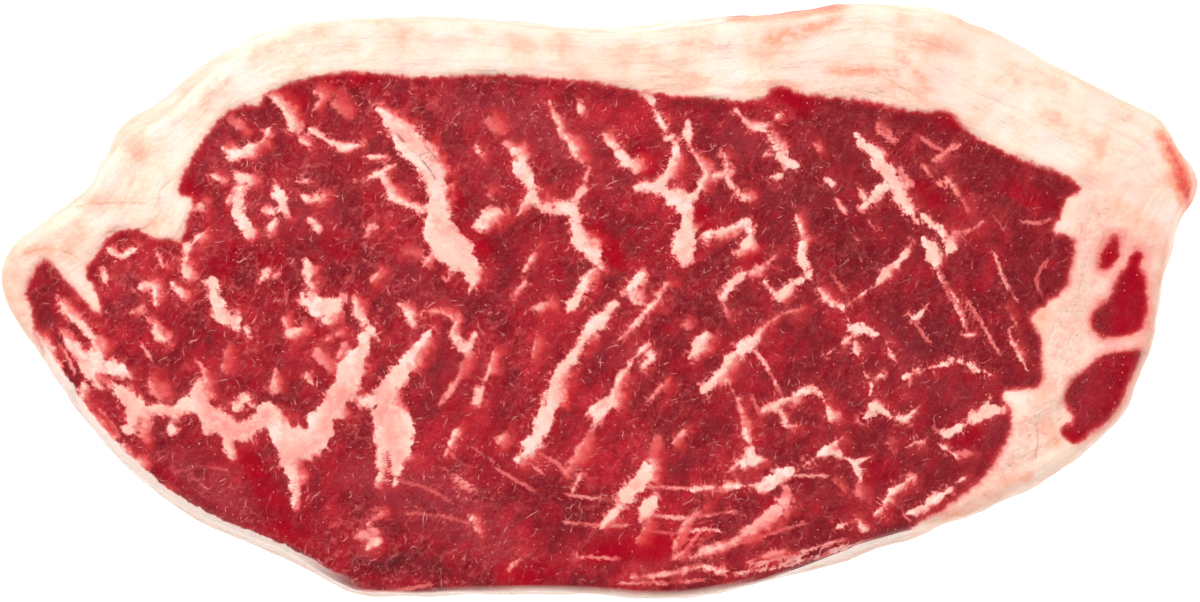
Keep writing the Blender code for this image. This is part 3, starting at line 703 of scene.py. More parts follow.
class ClosedLine:
    """A closed smooth line on the plan, such as the outline or a seam between lean and fat."""

    STEPS = 8

    def __init__(self, points_mm: tuple[tuple[float, float], ...]) -> None:
        """Smooths the line and keeps its legs."""
        self.points = catmull_rom(np.array(points_mm, float) * MM, True, self.STEPS)
        self.legs = np.roll(self.points, -1, axis=0) - self.points
        self.lengths = np.hypot(*self.legs.T)
        self.reach = np.concatenate([[0.0], np.cumsum(self.lengths)])

    def _inside(self, places: np.ndarray) -> np.ndarray:
        """Whether each place is inside the line, by counting the legs to its right."""
        away = places[:, None] - self.points[None]
        rise = np.where(self.legs[:, 1] == 0, 1e-12, self.legs[:, 1])
        crosses = (away[..., 1] < 0) != (away[..., 1] < self.legs[:, 1])
        right = away[..., 0] < self.legs[:, 0] * away[..., 1] / rise
        return (crosses & right).sum(1) % 2 == 1

    def read(self, places: np.ndarray) -> tuple[np.ndarray, np.ndarray]:
        """Finds the nearest spot on the line for each place.

        Args:
            places: Places on the plan, two columns, in metres.

        Returns:
            The signed distance, positive inside the line, and how far along the line the nearest spot is.
        """
        distance, along = np.empty(len(places)), np.empty(len(places))
        for rows in tiles(places):
            near = places[rows]
            centre = near.mean(0)
            radius = np.hypot(*(near - centre).T).max() + self.lengths.max()
            gaps = np.hypot(*(self.points - centre).T)
            keep = np.flatnonzero(gaps <= gaps.min() + 2 * radius)
            _, t, gap = leg_gaps(near, self.points[keep], self.legs[keep])
            best = gap.argmin(1)
            pick = np.arange(len(near))
            inside = self._inside(near if gaps.min() < radius else centre[None])
            distance[rows] = np.where(inside, 1.0, -1.0) * gap[pick, best]
            along[rows] = self.reach[keep[best]] + t[pick, best] * self.lengths[keep[best]]
        return distance, along


class StrokeField:
    """Many strokes at once, read as distances to their edges and middle lines."""

    STEPS = 4
    REACH = 0.004
    SPACING = 0.030

    def __init__(self, strokes: tuple[Stroke, ...]) -> None:
        """Turns every route into short straight legs, in metres on the plan."""
        starts, legs, marks = [], [], []
        for number, item in enumerate(strokes):
            route = np.array(item.route, float)
            route[:, 0] -= PHOTO_SIZE[0] / 2
            route[:, 1] = PHOTO_SIZE[1] / 2 - route[:, 1]
            line = catmull_rom(route * PIXEL, False, self.STEPS)
            leg = np.diff(line, axis=0)
            reach = np.concatenate([[0.0], np.cumsum(np.hypot(*leg[:, :2].T))])
            starts.append(line[:-1])
            legs.append(leg)
            strength = np.full(len(leg), item.strength)
            marks.append(np.column_stack([strength, reach[:-1] + number * self.SPACING, np.diff(reach)]))
        self.starts, self.legs, self.marks = (np.concatenate(rows) for rows in (starts, legs, marks))

    def read(self, places: np.ndarray) -> dict[str, np.ndarray]:
        """Reads the stroke whose edge reaches furthest over each place.

        Args:
            places: Places on the plan, two columns, in metres.

        Returns:
            Arrays by name: edge, positive inside a stroke; offset, signed from its middle line; radius, its
            half width; strength; along, how far along the stroke the place is; and side, 1 to the right of
            the stroke and -1 to the left of it.
        """
        found = {name: np.zeros(len(places)) for name in ("offset", "radius", "strength", "along", "side")}
        found["edge"] = np.full(len(places), -self.REACH)
        found["offset"] += self.REACH
        found["radius"] += self.REACH
        ends = self.starts + self.legs
        wide = np.maximum(self.starts[:, 2], ends[:, 2])[:, None] + self.REACH
        low = np.minimum(self.starts, ends)[:, :2] - wide
        high = np.maximum(self.starts, ends)[:, :2] + wide
        for rows in tiles(places):
            near = places[rows]
            keep = np.flatnonzero(((low <= near.max(0)) & (high >= near.min(0))).all(1))
            if not len(keep):
                continue
            starts, legs, marks = self.starts[keep], self.legs[keep], self.marks[keep]
            away, t, gap = leg_gaps(near, starts[:, :2], legs[:, :2])
            radius = starts[:, 2] + legs[:, 2] * t
            best = (radius - gap).argmax(1)
            pick = np.arange(len(near))
            gap, radius, t, away = gap[pick, best], radius[pick, best], t[pick, best], away[pick, best]
            leg = legs[best]
            turn = np.sign(leg[:, 0] * away[:, 1] - leg[:, 1] * away[:, 0])
            outward = away - leg[:, :2] * t[:, None]
            found["edge"][rows] = np.maximum(radius - gap, -self.REACH)
            found["offset"][rows] = np.minimum(gap, self.REACH) * np.where(turn == 0, 1.0, turn)
            found["radius"][rows] = radius
            found["strength"][rows] = marks[best, 0]
            found["along"][rows] = marks[best, 1] + marks[best, 2] * t
            found["side"][rows] = outward[:, 0] / np.maximum(gap, 1e-6)
        return found

    def soft(self, places: np.ndarray, softness: float) -> np.ndarray:
        """How strongly the strokes cover each place, 0 to 1, with edges that fade over twice softness."""
        found = self.read(places)
        return found["strength"] * smoothstep(0.5 + found["edge"] / (2.0 * softness))


@dataclass
class SteakBody:
    """The steak's skin: both cut faces and the wall between them, as one closed mesh."""

    thickness: float = 0.025
    top_edge_radius: float = 0.0024
    bottom_edge_radius: float = 0.0020
    belly_height: float = 0.0080
    core_share: float = 0.72
    corner_pull: float = 0.12
    cells_long: int = 220
    cells_wide: int = 80
    rim_rings: int = 40
    wall_rings: int = 13
    round_share: float = 0.14
    belly_share: float = 0.68
    wall_length: float = 0.027
    fat_step: float = 0.0007
    fat_step_width: float = 0.0030
    swell: tuple[float, float, float] = (0.0009, 0.034, 0.3)
    lump: tuple[float, float, float] = (0.00035, 0.011, 4.7)
    tail_drop: float = 0.0018
    tail_start: float = 0.045
    drift: float = 0.0022
    normal_window: int = 21
    outline: ClosedLine = field(default_factory=lambda: ClosedLine(OUTLINE))
    eye: ClosedLine = field(default_factory=lambda: ClosedLine(EYE_BORDER))

    def _sheet(self) -> bpy.types.Mesh:
        """Grows the mesh: a core grid, rings out to the cut edge and down half the wall, then its mirror.

        Returns:
            A closed mesh whose vertices know their ring, and the core's point that they grew from.
        """
        bm = bmesh.new()
        layers = [bm.verts.layers.float.new(name) for name in ("ring", "start_x", "start_y")]
        ring_layer, start_x, start_y = layers
        bmesh.ops.create_grid(bm, x_segments=self.cells_long, y_segments=self.cells_wide, size=1.0)
        bmesh.ops.translate(bm, verts=bm.verts, vec=(0.0, 0.0, 1.0))
        half_length, half_width = self._half_sizes()
        core_x = half_length * self.core_share
        core_y = half_width * self.core_share / math.sqrt(2)
        for vert in bm.verts:
            x, y = vert.co.x, vert.co.y
            vert[start_x] = core_x * x * (1 - self.corner_pull * y * y)
            vert[start_y] = core_y * y * (1 - self.corner_pull * x * x)
        edges = [edge for edge in bm.edges if edge.is_boundary]
        for ring in range(1, self.rim_rings + self.wall_rings + 1):
            made = bmesh.ops.extrude_edge_only(bm, edges=edges)["geom"]
            edges = [item for item in made if isinstance(item, bmesh.types.BMEdge) and item.is_boundary]
            height = 1.0 - max(0, ring - self.rim_rings) / self.wall_rings
            for vert in {vert for edge in edges for vert in edge.verts}:
                vert[ring_layer] = ring
                vert.co.z = height
        geom = bm.verts[:] + bm.edges[:] + bm.faces[:]
        bmesh.ops.mirror(bm, geom=geom, matrix=Matrix.Identity(4), merge_dist=1e-5, axis="Z")
        mesh = bpy.data.meshes.new("steak_flesh")
        bm.to_mesh(mesh)
        bm.free()
        return mesh

    def _half_sizes(self) -> tuple[float, float]:
        """Half the outline's length and width."""
        return tuple(np.ptp(self.outline.points, axis=0) / 2)

    def _edge_at(self, starts: np.ndarray) -> tuple[np.ndarray, np.ndarray]:
        """The outline's point and outward normal on the bearing of each start."""
        half = np.array(self._half_sizes())
        points = self.outline.points
        along = np.roll(points, -1, axis=0) - np.roll(points, 1, axis=0)
        normals = np.stack([-along[:, 1], along[:, 0]], 1) / np.hypot(*along.T)[:, None]
        window = np.hanning(self.normal_window + 2)[1:-1]
        reach = self.normal_window // 2
        wrapped = np.concatenate([normals[-reach:], normals, normals[:reach]])
        window /= window.sum()
        normals = np.column_stack([np.convolve(column, window, "valid") for column in wrapped.T])
        bearings = np.arctan2(*(points / half).T[::-1])
        wanted = np.arctan2(*(starts / half).T[::-1])
        columns = [
            np.interp(wanted, bearings, column, period=math.tau) for column in (*points.T, *normals.T)
        ]
        point, normal = np.stack(columns[:2], 1), np.stack(columns[2:], 1)
        return point, normal / np.hypot(*normal.T)[:, None]

    def _wall_lean(self, points: np.ndarray) -> np.ndarray:
        """How far the widest part of the wall stands outside the cut edge, near each point."""
        lean = np.full(len(points), WALL_LEAN_EVERYWHERE * MM)
        for centre, amount, reach in WALL_LEANS:
            gap2 = ((points / MM - np.array(centre)) ** 2).sum(1)
            lean += amount * MM * np.exp(-gap2 / reach**2)
        return lean

    def _top_height(self, places: np.ndarray, eye_gap: np.ndarray) -> np.ndarray:
        """The cut face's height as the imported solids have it, where the distance to the seam is known."""
        flat = np.column_stack([places, np.zeros(len(places))])
        height = np.full(len(places), self.thickness)
        for amount, span, seed in (self.swell, self.lump):
            height += amount * wave(flat, span, seed)
        height += self.fat_step * smoothstep(0.5 - eye_gap / self.fat_step_width)
        drop = smoothstep((places[:, 0] - self.tail_start) / (STEAK_LENGTH / 2 - self.tail_start))
        return height - self.tail_drop * drop

    def _section(self, share: np.ndarray, lean: np.ndarray, height: np.ndarray) -> tuple[
        np.ndarray, np.ndarray
    ]:
        """The wall's section.

        Args:
            share: How far down the wall, from 0 at the cut edge to 1 at the underside.
            lean: How far the widest line stands outside the cut edge.
            height: The cut edge's height.

        Returns:
            How far inside the widest line, and the height.
        """
        top = np.clip(share / self.round_share, 0, 1) * math.pi / 2
        side = np.clip((share - self.round_share) / (self.belly_share - self.round_share), 0, 1)
        under = np.clip((share - self.belly_share) / (1 - self.belly_share), 0, 1) * math.pi / 2
        shoulder = height - self.top_edge_radius
        inset = np.where(
            side > 0, lean * (1 - smoothstep(side)), lean + self.top_edge_radius * (1 - np.sin(top))
        )
        level = np.where(
            side > 0,
            shoulder - (shoulder - self.belly_height) * side,
            height - self.top_edge_radius * (1 - np.cos(top)),
        )
        inset = np.where(under > 0, self.bottom_edge_radius * (1 - np.cos(under)), inset)
        level = np.where(under > 0, self.belly_height * (1 - np.sin(under)), level)
        return inset, level

    def _read_fields(self, places: np.ndarray, depth: np.ndarray) -> dict[str, np.ndarray]:
        """Everything the finish needs to know about each vertex's place on the plan.

        Args:
            places: Places on the plan, already drifted with depth.
            depth: How far below the upper cut face each vertex is, from 0 to 1.

        Returns:
            Arrays by the names that Field lists, lengths in millimetres, without wall and layer.
        """
        eye_gap, border_along = self.eye.read(places)
        fat_edge = -eye_gap
        for points in TAIL_MUSCLES:
            fat_edge = np.minimum(fat_edge, -ClosedLine(points).read(places)[0])
        fat_edge = np.minimum(fat_edge, -StrokeField(LEAN_ISLANDS).read(places)["edge"])
        veins = StrokeField(MARBLING).read(places)
        threads = StrokeField(THREADS).read(places)
        creases = StrokeField(CREASES).read(places)
        fade = 1.0 - smoothstep(depth * 4.0)
        return {
            "fat_edge": fat_edge / MM,
            "vein_edge": veins["edge"] / MM,
            "vein_along": veins["along"] / MM,
            "vein_strength": veins["strength"],
            "vein_offset": veins["offset"] / MM,
            "vein_radius": veins["radius"] / MM,
            "vein_side": veins["side"],
            "thread_offset": threads["offset"] / MM,
            "thread_weight": threads["strength"] * smoothstep(1.0 + threads["edge"] / (1.2 * MM)) * fade,
            "crease_offset": creases["offset"] / MM,
            "crease_weight": creases["strength"] * smoothstep(1.0 + creases["edge"] / (1.2 * MM)) * fade,
            "bright": StrokeField(BRIGHT_PATCHES).soft(places, 1.6 * MM),
            "dull": StrokeField(DULL_PATCHES).soft(places, 3.0 * MM),
            "peach": StrokeField(PEACH_PATCHES).soft(places, 1.5 * MM),
            "rosy": StrokeField(ROSY_PATCHES).soft(places, 1.8 * MM),
            "border_along": border_along / MM,
        }

    def _relief(self, at: np.ndarray, fields: dict[str, np.ndarray]) -> np.ndarray:
        """A cut face's small relief: raised marbling, a groove at the fat's border, folds and lumps."""
        on_fat = smoothstep(0.5 + fields["fat_edge"] / 1.2)
        marbling = smoothstep(0.5 + fields["vein_edge"] / 0.7) * fields["vein_strength"]
        groove = np.exp(-((fields["fat_edge"] / 0.55) ** 2)) * (0.6 + 0.6 * wave(at, 7 * MM, 2.1))
        fold = fields["crease_weight"] * np.exp(-((fields["crease_offset"] / 0.45) ** 2))
        streaked = np.column_stack([at[:, :2] * 0.22, fields["layer"] * MM])
        lean = 0.16 * wave(at, 2.1 * MM, 7.3) + 0.18 * wave(at, 4.6 * MM, 1.9)
        fat = 0.46 * wave(streaked, 2.6 * MM, 5.5) + 0.66 * wave(at, 6.5 * MM, 8.2)
        fat += 0.24 * wave(at, 2.3 * MM, 3.3)
        relief = (lean + 0.16 * marbling) * (1 - on_fat) + fat * on_fat
        return (relief - 0.05 * groove - 0.16 * fold) * MM

    def build(self) -> bpy.types.Object:
        """Makes the skin and its vertex attributes.

        Returns:
            The object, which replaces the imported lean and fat.
        """
        mesh = self._sheet()
        count = len(mesh.vertices)
        at = np.empty(count * 3)
        mesh.vertices.foreach_get("co", at)
        at = at.reshape(-1, 3)
        ring, start_x, start_y = (self._numbers(mesh, name) for name in ("ring", "start_x", "start_y"))
        starts = np.column_stack([start_x, start_y])
        upper = at[:, 2] > -1e-6
        rim = np.clip(ring / self.rim_rings, 0, 1)
        down = np.clip(ring - self.rim_rings, 0, None) / (2 * self.wall_rings)
        share = np.where(upper, down, 1 - down)

        point, normal = self._edge_at(starts)
        lean = self._wall_lean(point)
        edge = point - normal * (lean + self.top_edge_radius)[:, None]
        under = point - normal * self.bottom_edge_radius
        edge_height = self._top_height(edge, self.eye.read(edge)[0])
        inset, level = self._section(share, lean, edge_height)
        flat = starts + (np.where(upper[:, None], edge, under) - starts) * rim[:, None]
        on_wall = ring > self.rim_rings
        places = np.where(on_wall[:, None], point - normal * inset[:, None], flat)
        height = np.where(upper, self._top_height(places, self.eye.read(places)[0]), 0.0)
        height = np.where(on_wall, level, height)

        depth = 1 - np.clip(height / self.thickness, 0, 1)
        solid = np.column_stack([places, height])
        shift = np.column_stack([wave(solid, 19 * MM, seed) for seed in (11.0, 23.0)])
        shift *= 2 * self.drift * depth[:, None]
        fields = self._read_fields(places + shift, depth)
        outline_gap = self.outline.read(places)[0]
        layer = lean + self.top_edge_radius - share * self.wall_length
        fields["layer"] = np.where(on_wall, layer, outline_gap) / MM
        skin_at = np.where(share < self.round_share, 1.0 - (inset / MM - 1.1) / 0.6, 1.0)
        fields["wall"] = smoothstep(skin_at) * smoothstep((1 - share) * 14.0) * on_wall

        relief = self._relief(solid, fields)
        height += np.where(on_wall, 0.0, np.where(upper, relief, np.maximum(relief, 0.0)))
        swollen = 0.35 * wave(solid, 9 * MM, 6.0) + 0.18 * wave(solid * (1, 1, 2.5), 3.5 * MM, 9.0)
        push = (swollen * MM + relief * 0.5) * smoothstep(np.minimum(share, 1 - share) * 7.0)
        places = places + normal * (push * on_wall)[:, None]
        solid = np.column_stack([places, np.maximum(height, 0.0)])
        mesh.vertices.foreach_set("co", solid.astype(np.float32).ravel())
        self._keep(mesh, fields)
        self._face_outwards(mesh)
        piece = bpy.data.objects.new("steak_flesh", mesh)
        bpy.context.scene.collection.objects.link(piece)
        return piece

    @staticmethod
    def _numbers(mesh: bpy.types.Mesh, name: str) -> np.ndarray:
        """One float attribute as an array."""
        found = np.empty(len(mesh.vertices))
        mesh.attributes[name].data.foreach_get("value", found)
        return found

    @staticmethod
    def _keep(mesh: bpy.types.Mesh, fields: dict[str, np.ndarray]) -> None:
        """Stores the fields as vector attributes, and drops the ones that only the growing used."""
        for name in ("ring", "start_x", "start_y"):
            mesh.attributes.remove(mesh.attributes[name])
        for group in Field:
            layer = mesh.attributes.new(group.name.lower(), "FLOAT_VECTOR", "POINT")
            values = np.column_stack([fields[name] for name in group.value])
            layer.data.foreach_set("vector", values.astype(np.float32).ravel())

    @staticmethod
    def _face_outwards(mesh: bpy.types.Mesh) -> None:
        """Turns every face outwards and shades it smooth."""
        bm = bmesh.new()
        bm.from_mesh(mesh)
        bmesh.ops.recalc_face_normals(bm, faces=bm.faces)
        bm.to_mesh(mesh)
        bm.free()
        mesh.shade_smooth()


Socket = bpy.types.NodeSocket


class Graph:
    """Builds a material's nodes in few words."""

    def __init__(self, name: str) -> None:
        """Starts a material with an empty node tree."""
        self.material = bpy.data.materials.new(name)
        self.material.use_nodes = True
        self.tree = self.material.node_tree
        self.tree.nodes.clear()

    def node(self, kind: str, inputs: dict | None = None, **settings: object) -> bpy.types.Node:
        """Adds a node.

        Args:
            kind: The node's type.
            inputs: Sockets by name or number, each a number, a colour or another node's output.
            settings: The node's own properties.

        Returns:
            The node.
        """
        made = self.tree.nodes.new(kind)
        for key, value in settings.items():
            setattr(made, key, value)
        for key, value in (inputs or {}).items():
            if isinstance(value, Socket):
                self.tree.links.new(value, made.inputs[key])
            else:
                made.inputs[key].default_value = value
        return made

    def math(self, operation: str, *values: object, clamp: bool = False) -> Socket:
        """One sum on numbers."""
        made = self.node("ShaderNodeMath", dict(enumerate(values)), operation=operation, use_clamp=clamp)
        return made.outputs[0]

    def times(self, first: object, second: object, clamp: bool = False) -> Socket:
        """The product of two numbers."""
        return self.math("MULTIPLY", first, second, clamp=clamp)

    def times_add(self, first: object, second: object, third: object) -> Socket:
        """The product of two numbers, and a third number added."""
        return self.math("MULTIPLY_ADD", first, second, third)

    def add(self, first: object, second: object) -> Socket:
        """The sum of two numbers."""
        return self.math("ADD", first, second)

    def less(self, first: object, second: object, clamp: bool = False) -> Socket:
        """The first number less the second."""
        return self.math("SUBTRACT", first, second, clamp=clamp)

    def most(self, *values: object) -> Socket:
        """The larger of two numbers."""
        return self.math("MAXIMUM", *values)

    def vector(self, operation: str, *values: object) -> Socket:
        """One sum on vectors."""
        return self.node("ShaderNodeVectorMath", dict(enumerate(values)), operation=operation).outputs[0]

    def join(self, x: object, y: object, z: object = 0.0) -> Socket:
        """A vector from its x, y and z."""
        return self.node("ShaderNodeCombineXYZ", {0: x, 1: y, 2: z}).outputs[0]

    def parts(self, vector: object) -> list[Socket]:
        """The x, y and z of a vector."""
        return list(self.node("ShaderNodeSeparateXYZ", {0: vector}).outputs)

    def ramp(self, value: object, low: float, high: float, start: float = 0.0, end: float = 1.0) -> Socket:
        """A smooth step from start to end, as value goes from low to high."""
        inputs = {"Value": value, "From Min": low, "From Max": high, "To Min": start, "To Max": end}
        return self.node("ShaderNodeMapRange", inputs, interpolation_type="SMOOTHSTEP").outputs["Result"]

    def grain(self, vector: object, scale: float, detail: float = 2.0, roughness: float = 0.5) -> Socket:
        """Noise between 0 and 1, scale lumps to each unit of vector."""
        inputs = {"Vector": vector, "Scale": scale, "Detail": detail, "Roughness": roughness}
        return self.node("ShaderNodeTexNoise", inputs).outputs["Fac"]

    def cells(self, vector: object, scale: float, feature: str) -> Socket:
        """Distances in a pattern of cells."""
        inputs = {"Vector": vector, "Scale": scale}
        return self.node("ShaderNodeTexVoronoi", inputs, feature=feature).outputs["Distance"]

    def blend(self, share: object, first: object, second: object) -> Socket:
        """Mixes two colours."""
        return self.node("ShaderNodeMix", {0: share, 6: first, 7: second}, data_type="RGBA").outputs[2]

    def stretch(self, vector: object, scale: tuple[float, float, float], turn: float = 0.0) -> Socket:
        """A vector turned about Z, then scaled."""
        turned = self.node("ShaderNodeMapping", {"Vector": vector, "Rotation": (0.0, 0.0, turn)}).outputs[0]
        return self.node("ShaderNodeMapping", {"Vector": turned, "Scale": scale}).outputs[0]

    def fields(self) -> dict[str, Socket]:
        """The vertex fields by name."""
        found = {}
        for group in Field:
            read = self.node("ShaderNodeAttribute", attribute_name=group.name.lower())
            parts = self.node("ShaderNodeSeparateXYZ", {0: read.outputs["Vector"]})
            found.update(zip(group.value, parts.outputs))
        return found


@dataclass(frozen=True)
class Wisps:
    """A layer of short curled hairs of tissue, at most one to each cell. Lengths are millimetres."""

    cell: float
    width: float
    length: float
    bend: float
    share: float
    seed: float
    turn: float = 0.0
    spread: float = math.tau

    def cover(self, graph: Graph, at: Socket) -> Socket:
        """Where the hairs are.

        Args:
            graph: The material's graph.
            at: Places in millimetres.

        Returns:
            1 on a hair's middle, 0 off it.
        """
        moved = graph.vector("ADD", at, (self.seed,) * 3)
        cells = graph.node("ShaderNodeTexVoronoi", {"Vector": moved, "Scale": 1 / self.cell}).outputs
        local = graph.vector("SUBTRACT", moved, cells["Position"])
        chance = graph.node("ShaderNodeSeparateColor", {0: cells["Color"]}).outputs
        angle = graph.times_add(chance[0], self.spread, self.turn - self.spread / 2)
        inputs = {"Vector": local, "Angle": angle}
        turned = graph.node("ShaderNodeVectorRotate", inputs, rotation_type="Z_AXIS")
        x, y, _ = graph.parts(turned.outputs[0])
        x2 = graph.times(x, x)
        curve = graph.times(graph.times_add(chance[2], 2 * self.bend, -self.bend), x2)
        across = graph.math("ABSOLUTE", graph.add(y, curve))
        reach = graph.times_add(across, 1 / self.width, graph.times(x2, 1 / self.length**2))
        kept = graph.math("LESS_THAN", chance[1], self.share)
        return graph.times(graph.ramp(reach, 0.35, 1.1, 1.0, 0.0), kept)


@dataclass(frozen=True)
class FleshFinish:
    """Raw beef: wet lean with marbling and threads, and soft cream fat, told apart by the vertex fields."""

    lean_dark: tuple = (0.205, 0.0016, 0.0085, 1.0)
    lean_mid: tuple = (0.325, 0.0030, 0.0125, 1.0)
    lean_bright: tuple = (0.470, 0.0085, 0.0220, 1.0)
    lean_clear: tuple = (0.380, 0.0015, 0.0130, 1.0)
    lean_dull: tuple = (0.360, 0.0240, 0.0380, 1.0)
    lean_deep: tuple = (0.110, 0.0020, 0.0060, 1.0)
    # glow is painted light: the red of light shining through translucent fat, laid beside the marbling and
    # the fat's seam
    glow: tuple = (0.620, 0.0300, 0.0340, 1.0)
    # salmon is the lean's own pale grain and threads, and also painted glow at the edges of the marbling and
    # the fat
    salmon: tuple = (0.800, 0.130, 0.125, 1.0)
    marbling: tuple = (0.930, 0.610, 0.500, 1.0)
    white: tuple = (0.960, 0.760, 0.680, 1.0)
    pink: tuple = (0.880, 0.280, 0.240, 1.0)
    # tissue is also the colour of the pale specks, which are partly painted glints of wet light
    tissue: tuple = (0.900, 0.290, 0.250, 1.0)
    threads: tuple = (0.980, 0.560, 0.490, 1.0)
    hairs: tuple = (0.980, 0.400, 0.360, 1.0)
    tallow: tuple = (0.870, 0.650, 0.530, 1.0)
    cream: tuple = (0.970, 0.780, 0.680, 1.0)
    butter: tuple = (0.970, 0.720, 0.570, 1.0)
    peach: tuple = (0.950, 0.400, 0.270, 1.0)
    rose: tuple = (0.940, 0.520, 0.420, 1.0)
    stain: tuple = (0.760, 0.090, 0.070, 1.0)
    # crease_shade_red is painted shade: dark red laid along the lean's creases
    crease_shade_red: tuple = (0.420, 0.020, 0.020, 1.0)
    # hide_and_crease_shade is the browned skin of the wall and the fat's pores, and also painted shade along
    # the fat's creases
    hide_and_crease_shade: tuple = (0.740, 0.420, 0.270, 1.0)
    film: tuple = (0.900, 0.680, 0.570, 1.0)
    fibre_turn: float = math.radians(-57)
    wisps: tuple[Wisps, ...] = (
        Wisps(cell=1.8, width=0.11, length=0.80, bend=0.7, share=0.34, seed=3.0),
        Wisps(
            cell=3.4,
            width=0.11,
            length=1.70,
            bend=0.3,
            share=0.34,
            seed=17.0,
            turn=math.radians(-52),
            spread=1.6,
        ),
        # This third layer makes the pale specks: partly bits of tissue, partly painted glints of wet light
        Wisps(cell=1.3, width=0.16, length=0.22, bend=0.0, share=0.12, seed=41.0),
    )

    def build(self) -> bpy.types.Material:
        """Makes the material.

        Returns:
            One Principled material whose colour, roughness and bump follow the fields.
        """
        graph = Graph("raw_flesh")
        field_of = graph.fields()
        place = graph.node("ShaderNodeTexCoord").outputs["Object"]
        at = graph.stretch(place, (1 / MM, 1 / MM, 1 / MM))
        fray = graph.grain(at, 0.70, 5.0, 0.62)
        warp = graph.node("ShaderNodeTexNoise", {"Vector": at, "Scale": 0.40, "Detail": 2.0})
        bent = graph.vector("MULTIPLY_ADD", warp.outputs["Color"], (1.6, 1.6, 1.6), at)

        lean, lean_height, specks_and_glints = self._lean(graph, field_of, at, bent)
        flesh, cover = self._marbling(graph, field_of, at, fray, lean)
        # Painted glints: the pale specks, partly tissue and partly glints of wet light, laid on in tissue
        # pink
        flesh = graph.blend(graph.times(specks_and_glints, 0.55), flesh, self.tissue)
        fat, fat_height = self._fat(graph, field_of, at, fray)
        x, y, _ = graph.parts(at)
        strip = graph.times_add(graph.grain(at, 0.45, 4.0, 0.6), 1.8, graph.less(field_of["layer"], 0.9))
        strip = graph.times(graph.ramp(strip, 2.5, 2.9, 0.95, 0.0), graph.ramp(x, -56.0, -40.0, 1.0, 0.0))
        flesh = graph.blend(graph.times(strip, graph.ramp(y, -8.0, -2.0, 1.0, 0.0)), flesh, self.white)

        border_at = graph.join(field_of["border_along"], graph.times(field_of["fat_edge"], 0.4))
        ragged = graph.times_add(
            graph.grain(border_at, 0.5, 5.0, 0.65), 1.6, graph.less(field_of["fat_edge"], 0.8)
        )
        ragged = graph.times_add(fray, 1.3, graph.less(ragged, 0.65))
        blur = graph.times_add(field_of["rosy"], 0.50, 0.34)
        on_fat = graph.ramp(graph.math("DIVIDE", ragged, blur), -0.7, 1.3)
        fat = graph.blend(graph.ramp(ragged, 0.0, 1.6, 0.60, 0.0), fat, self.rose)
        halo = graph.times(graph.ramp(x, 83.0, 87.0), graph.ramp(ragged, 0.3, 2.6, 0.75, 0.0))
        fat = graph.blend(halo, fat, self.pink)
        # Painted glow: the lean beside the fat is lightened to a glowing red, as if lit through the fat; the
        # salmon blend after it is partly the seam's own pink and partly painted glow
        flesh = graph.blend(graph.ramp(ragged, -1.3, -0.2, 0.0, 0.40), flesh, self.glow)
        flesh = graph.blend(graph.ramp(ragged, -0.6, 0.25, 0.0, 0.85), flesh, self.salmon)
        colour = graph.blend(on_fat, flesh, fat)
        # Painted shade: the creases are darkened along their lines, dark red on the lean and brown on the fat
        crease = graph.ramp(graph.math("ABSOLUTE", field_of["crease_offset"]), 0.08, 0.34, 1.0, 0.0)
        crease = graph.times(crease, graph.times(field_of["crease_weight"], graph.ramp(fray, 0.3, 0.6)))
        fold = graph.blend(on_fat, self.crease_shade_red, self.hide_and_crease_shade)
        colour = graph.blend(graph.times(crease, 0.75), colour, fold)
        colour = self._wall(graph, field_of, bent, on_fat, colour)

        level_fat = graph.less(fat_height, 1.70)
        height = graph.node("ShaderNodeMix", {0: on_fat, 2: lean_height, 3: level_fat}).outputs[0]
        height = graph.times_add(cover, 0.25, height)
        height = graph.times_add(crease, -0.35, height)
        bump = graph.node("ShaderNodeBump", {"Strength": 0.8, "Distance": 0.45 * MM, "Height": height})
        roughness = graph.ramp(graph.grain(at, 0.16, 2.0), 0.35, 0.65, 0.17, 0.32)
        roughness = graph.node("ShaderNodeMix", {0: on_fat, 2: roughness, 3: 0.46}).outputs[0]
        inputs = {
            "Base Color": colour,
            "Roughness": roughness,
            "Normal": bump.outputs[0],
            "Subsurface Weight": 0.20,
            "Subsurface Radius": (1.0, 0.28, 0.20),
            "Subsurface Scale": 1.2 * MM,
            "Coat Weight": 0.08,
            "Coat Roughness": 0.07,
            "Specular IOR Level": 0.18,
        }
        shader = graph.node("ShaderNodeBsdfPrincipled", inputs)
        graph.node("ShaderNodeOutputMaterial", {"Surface": shader.outputs[0]})
        return graph.material

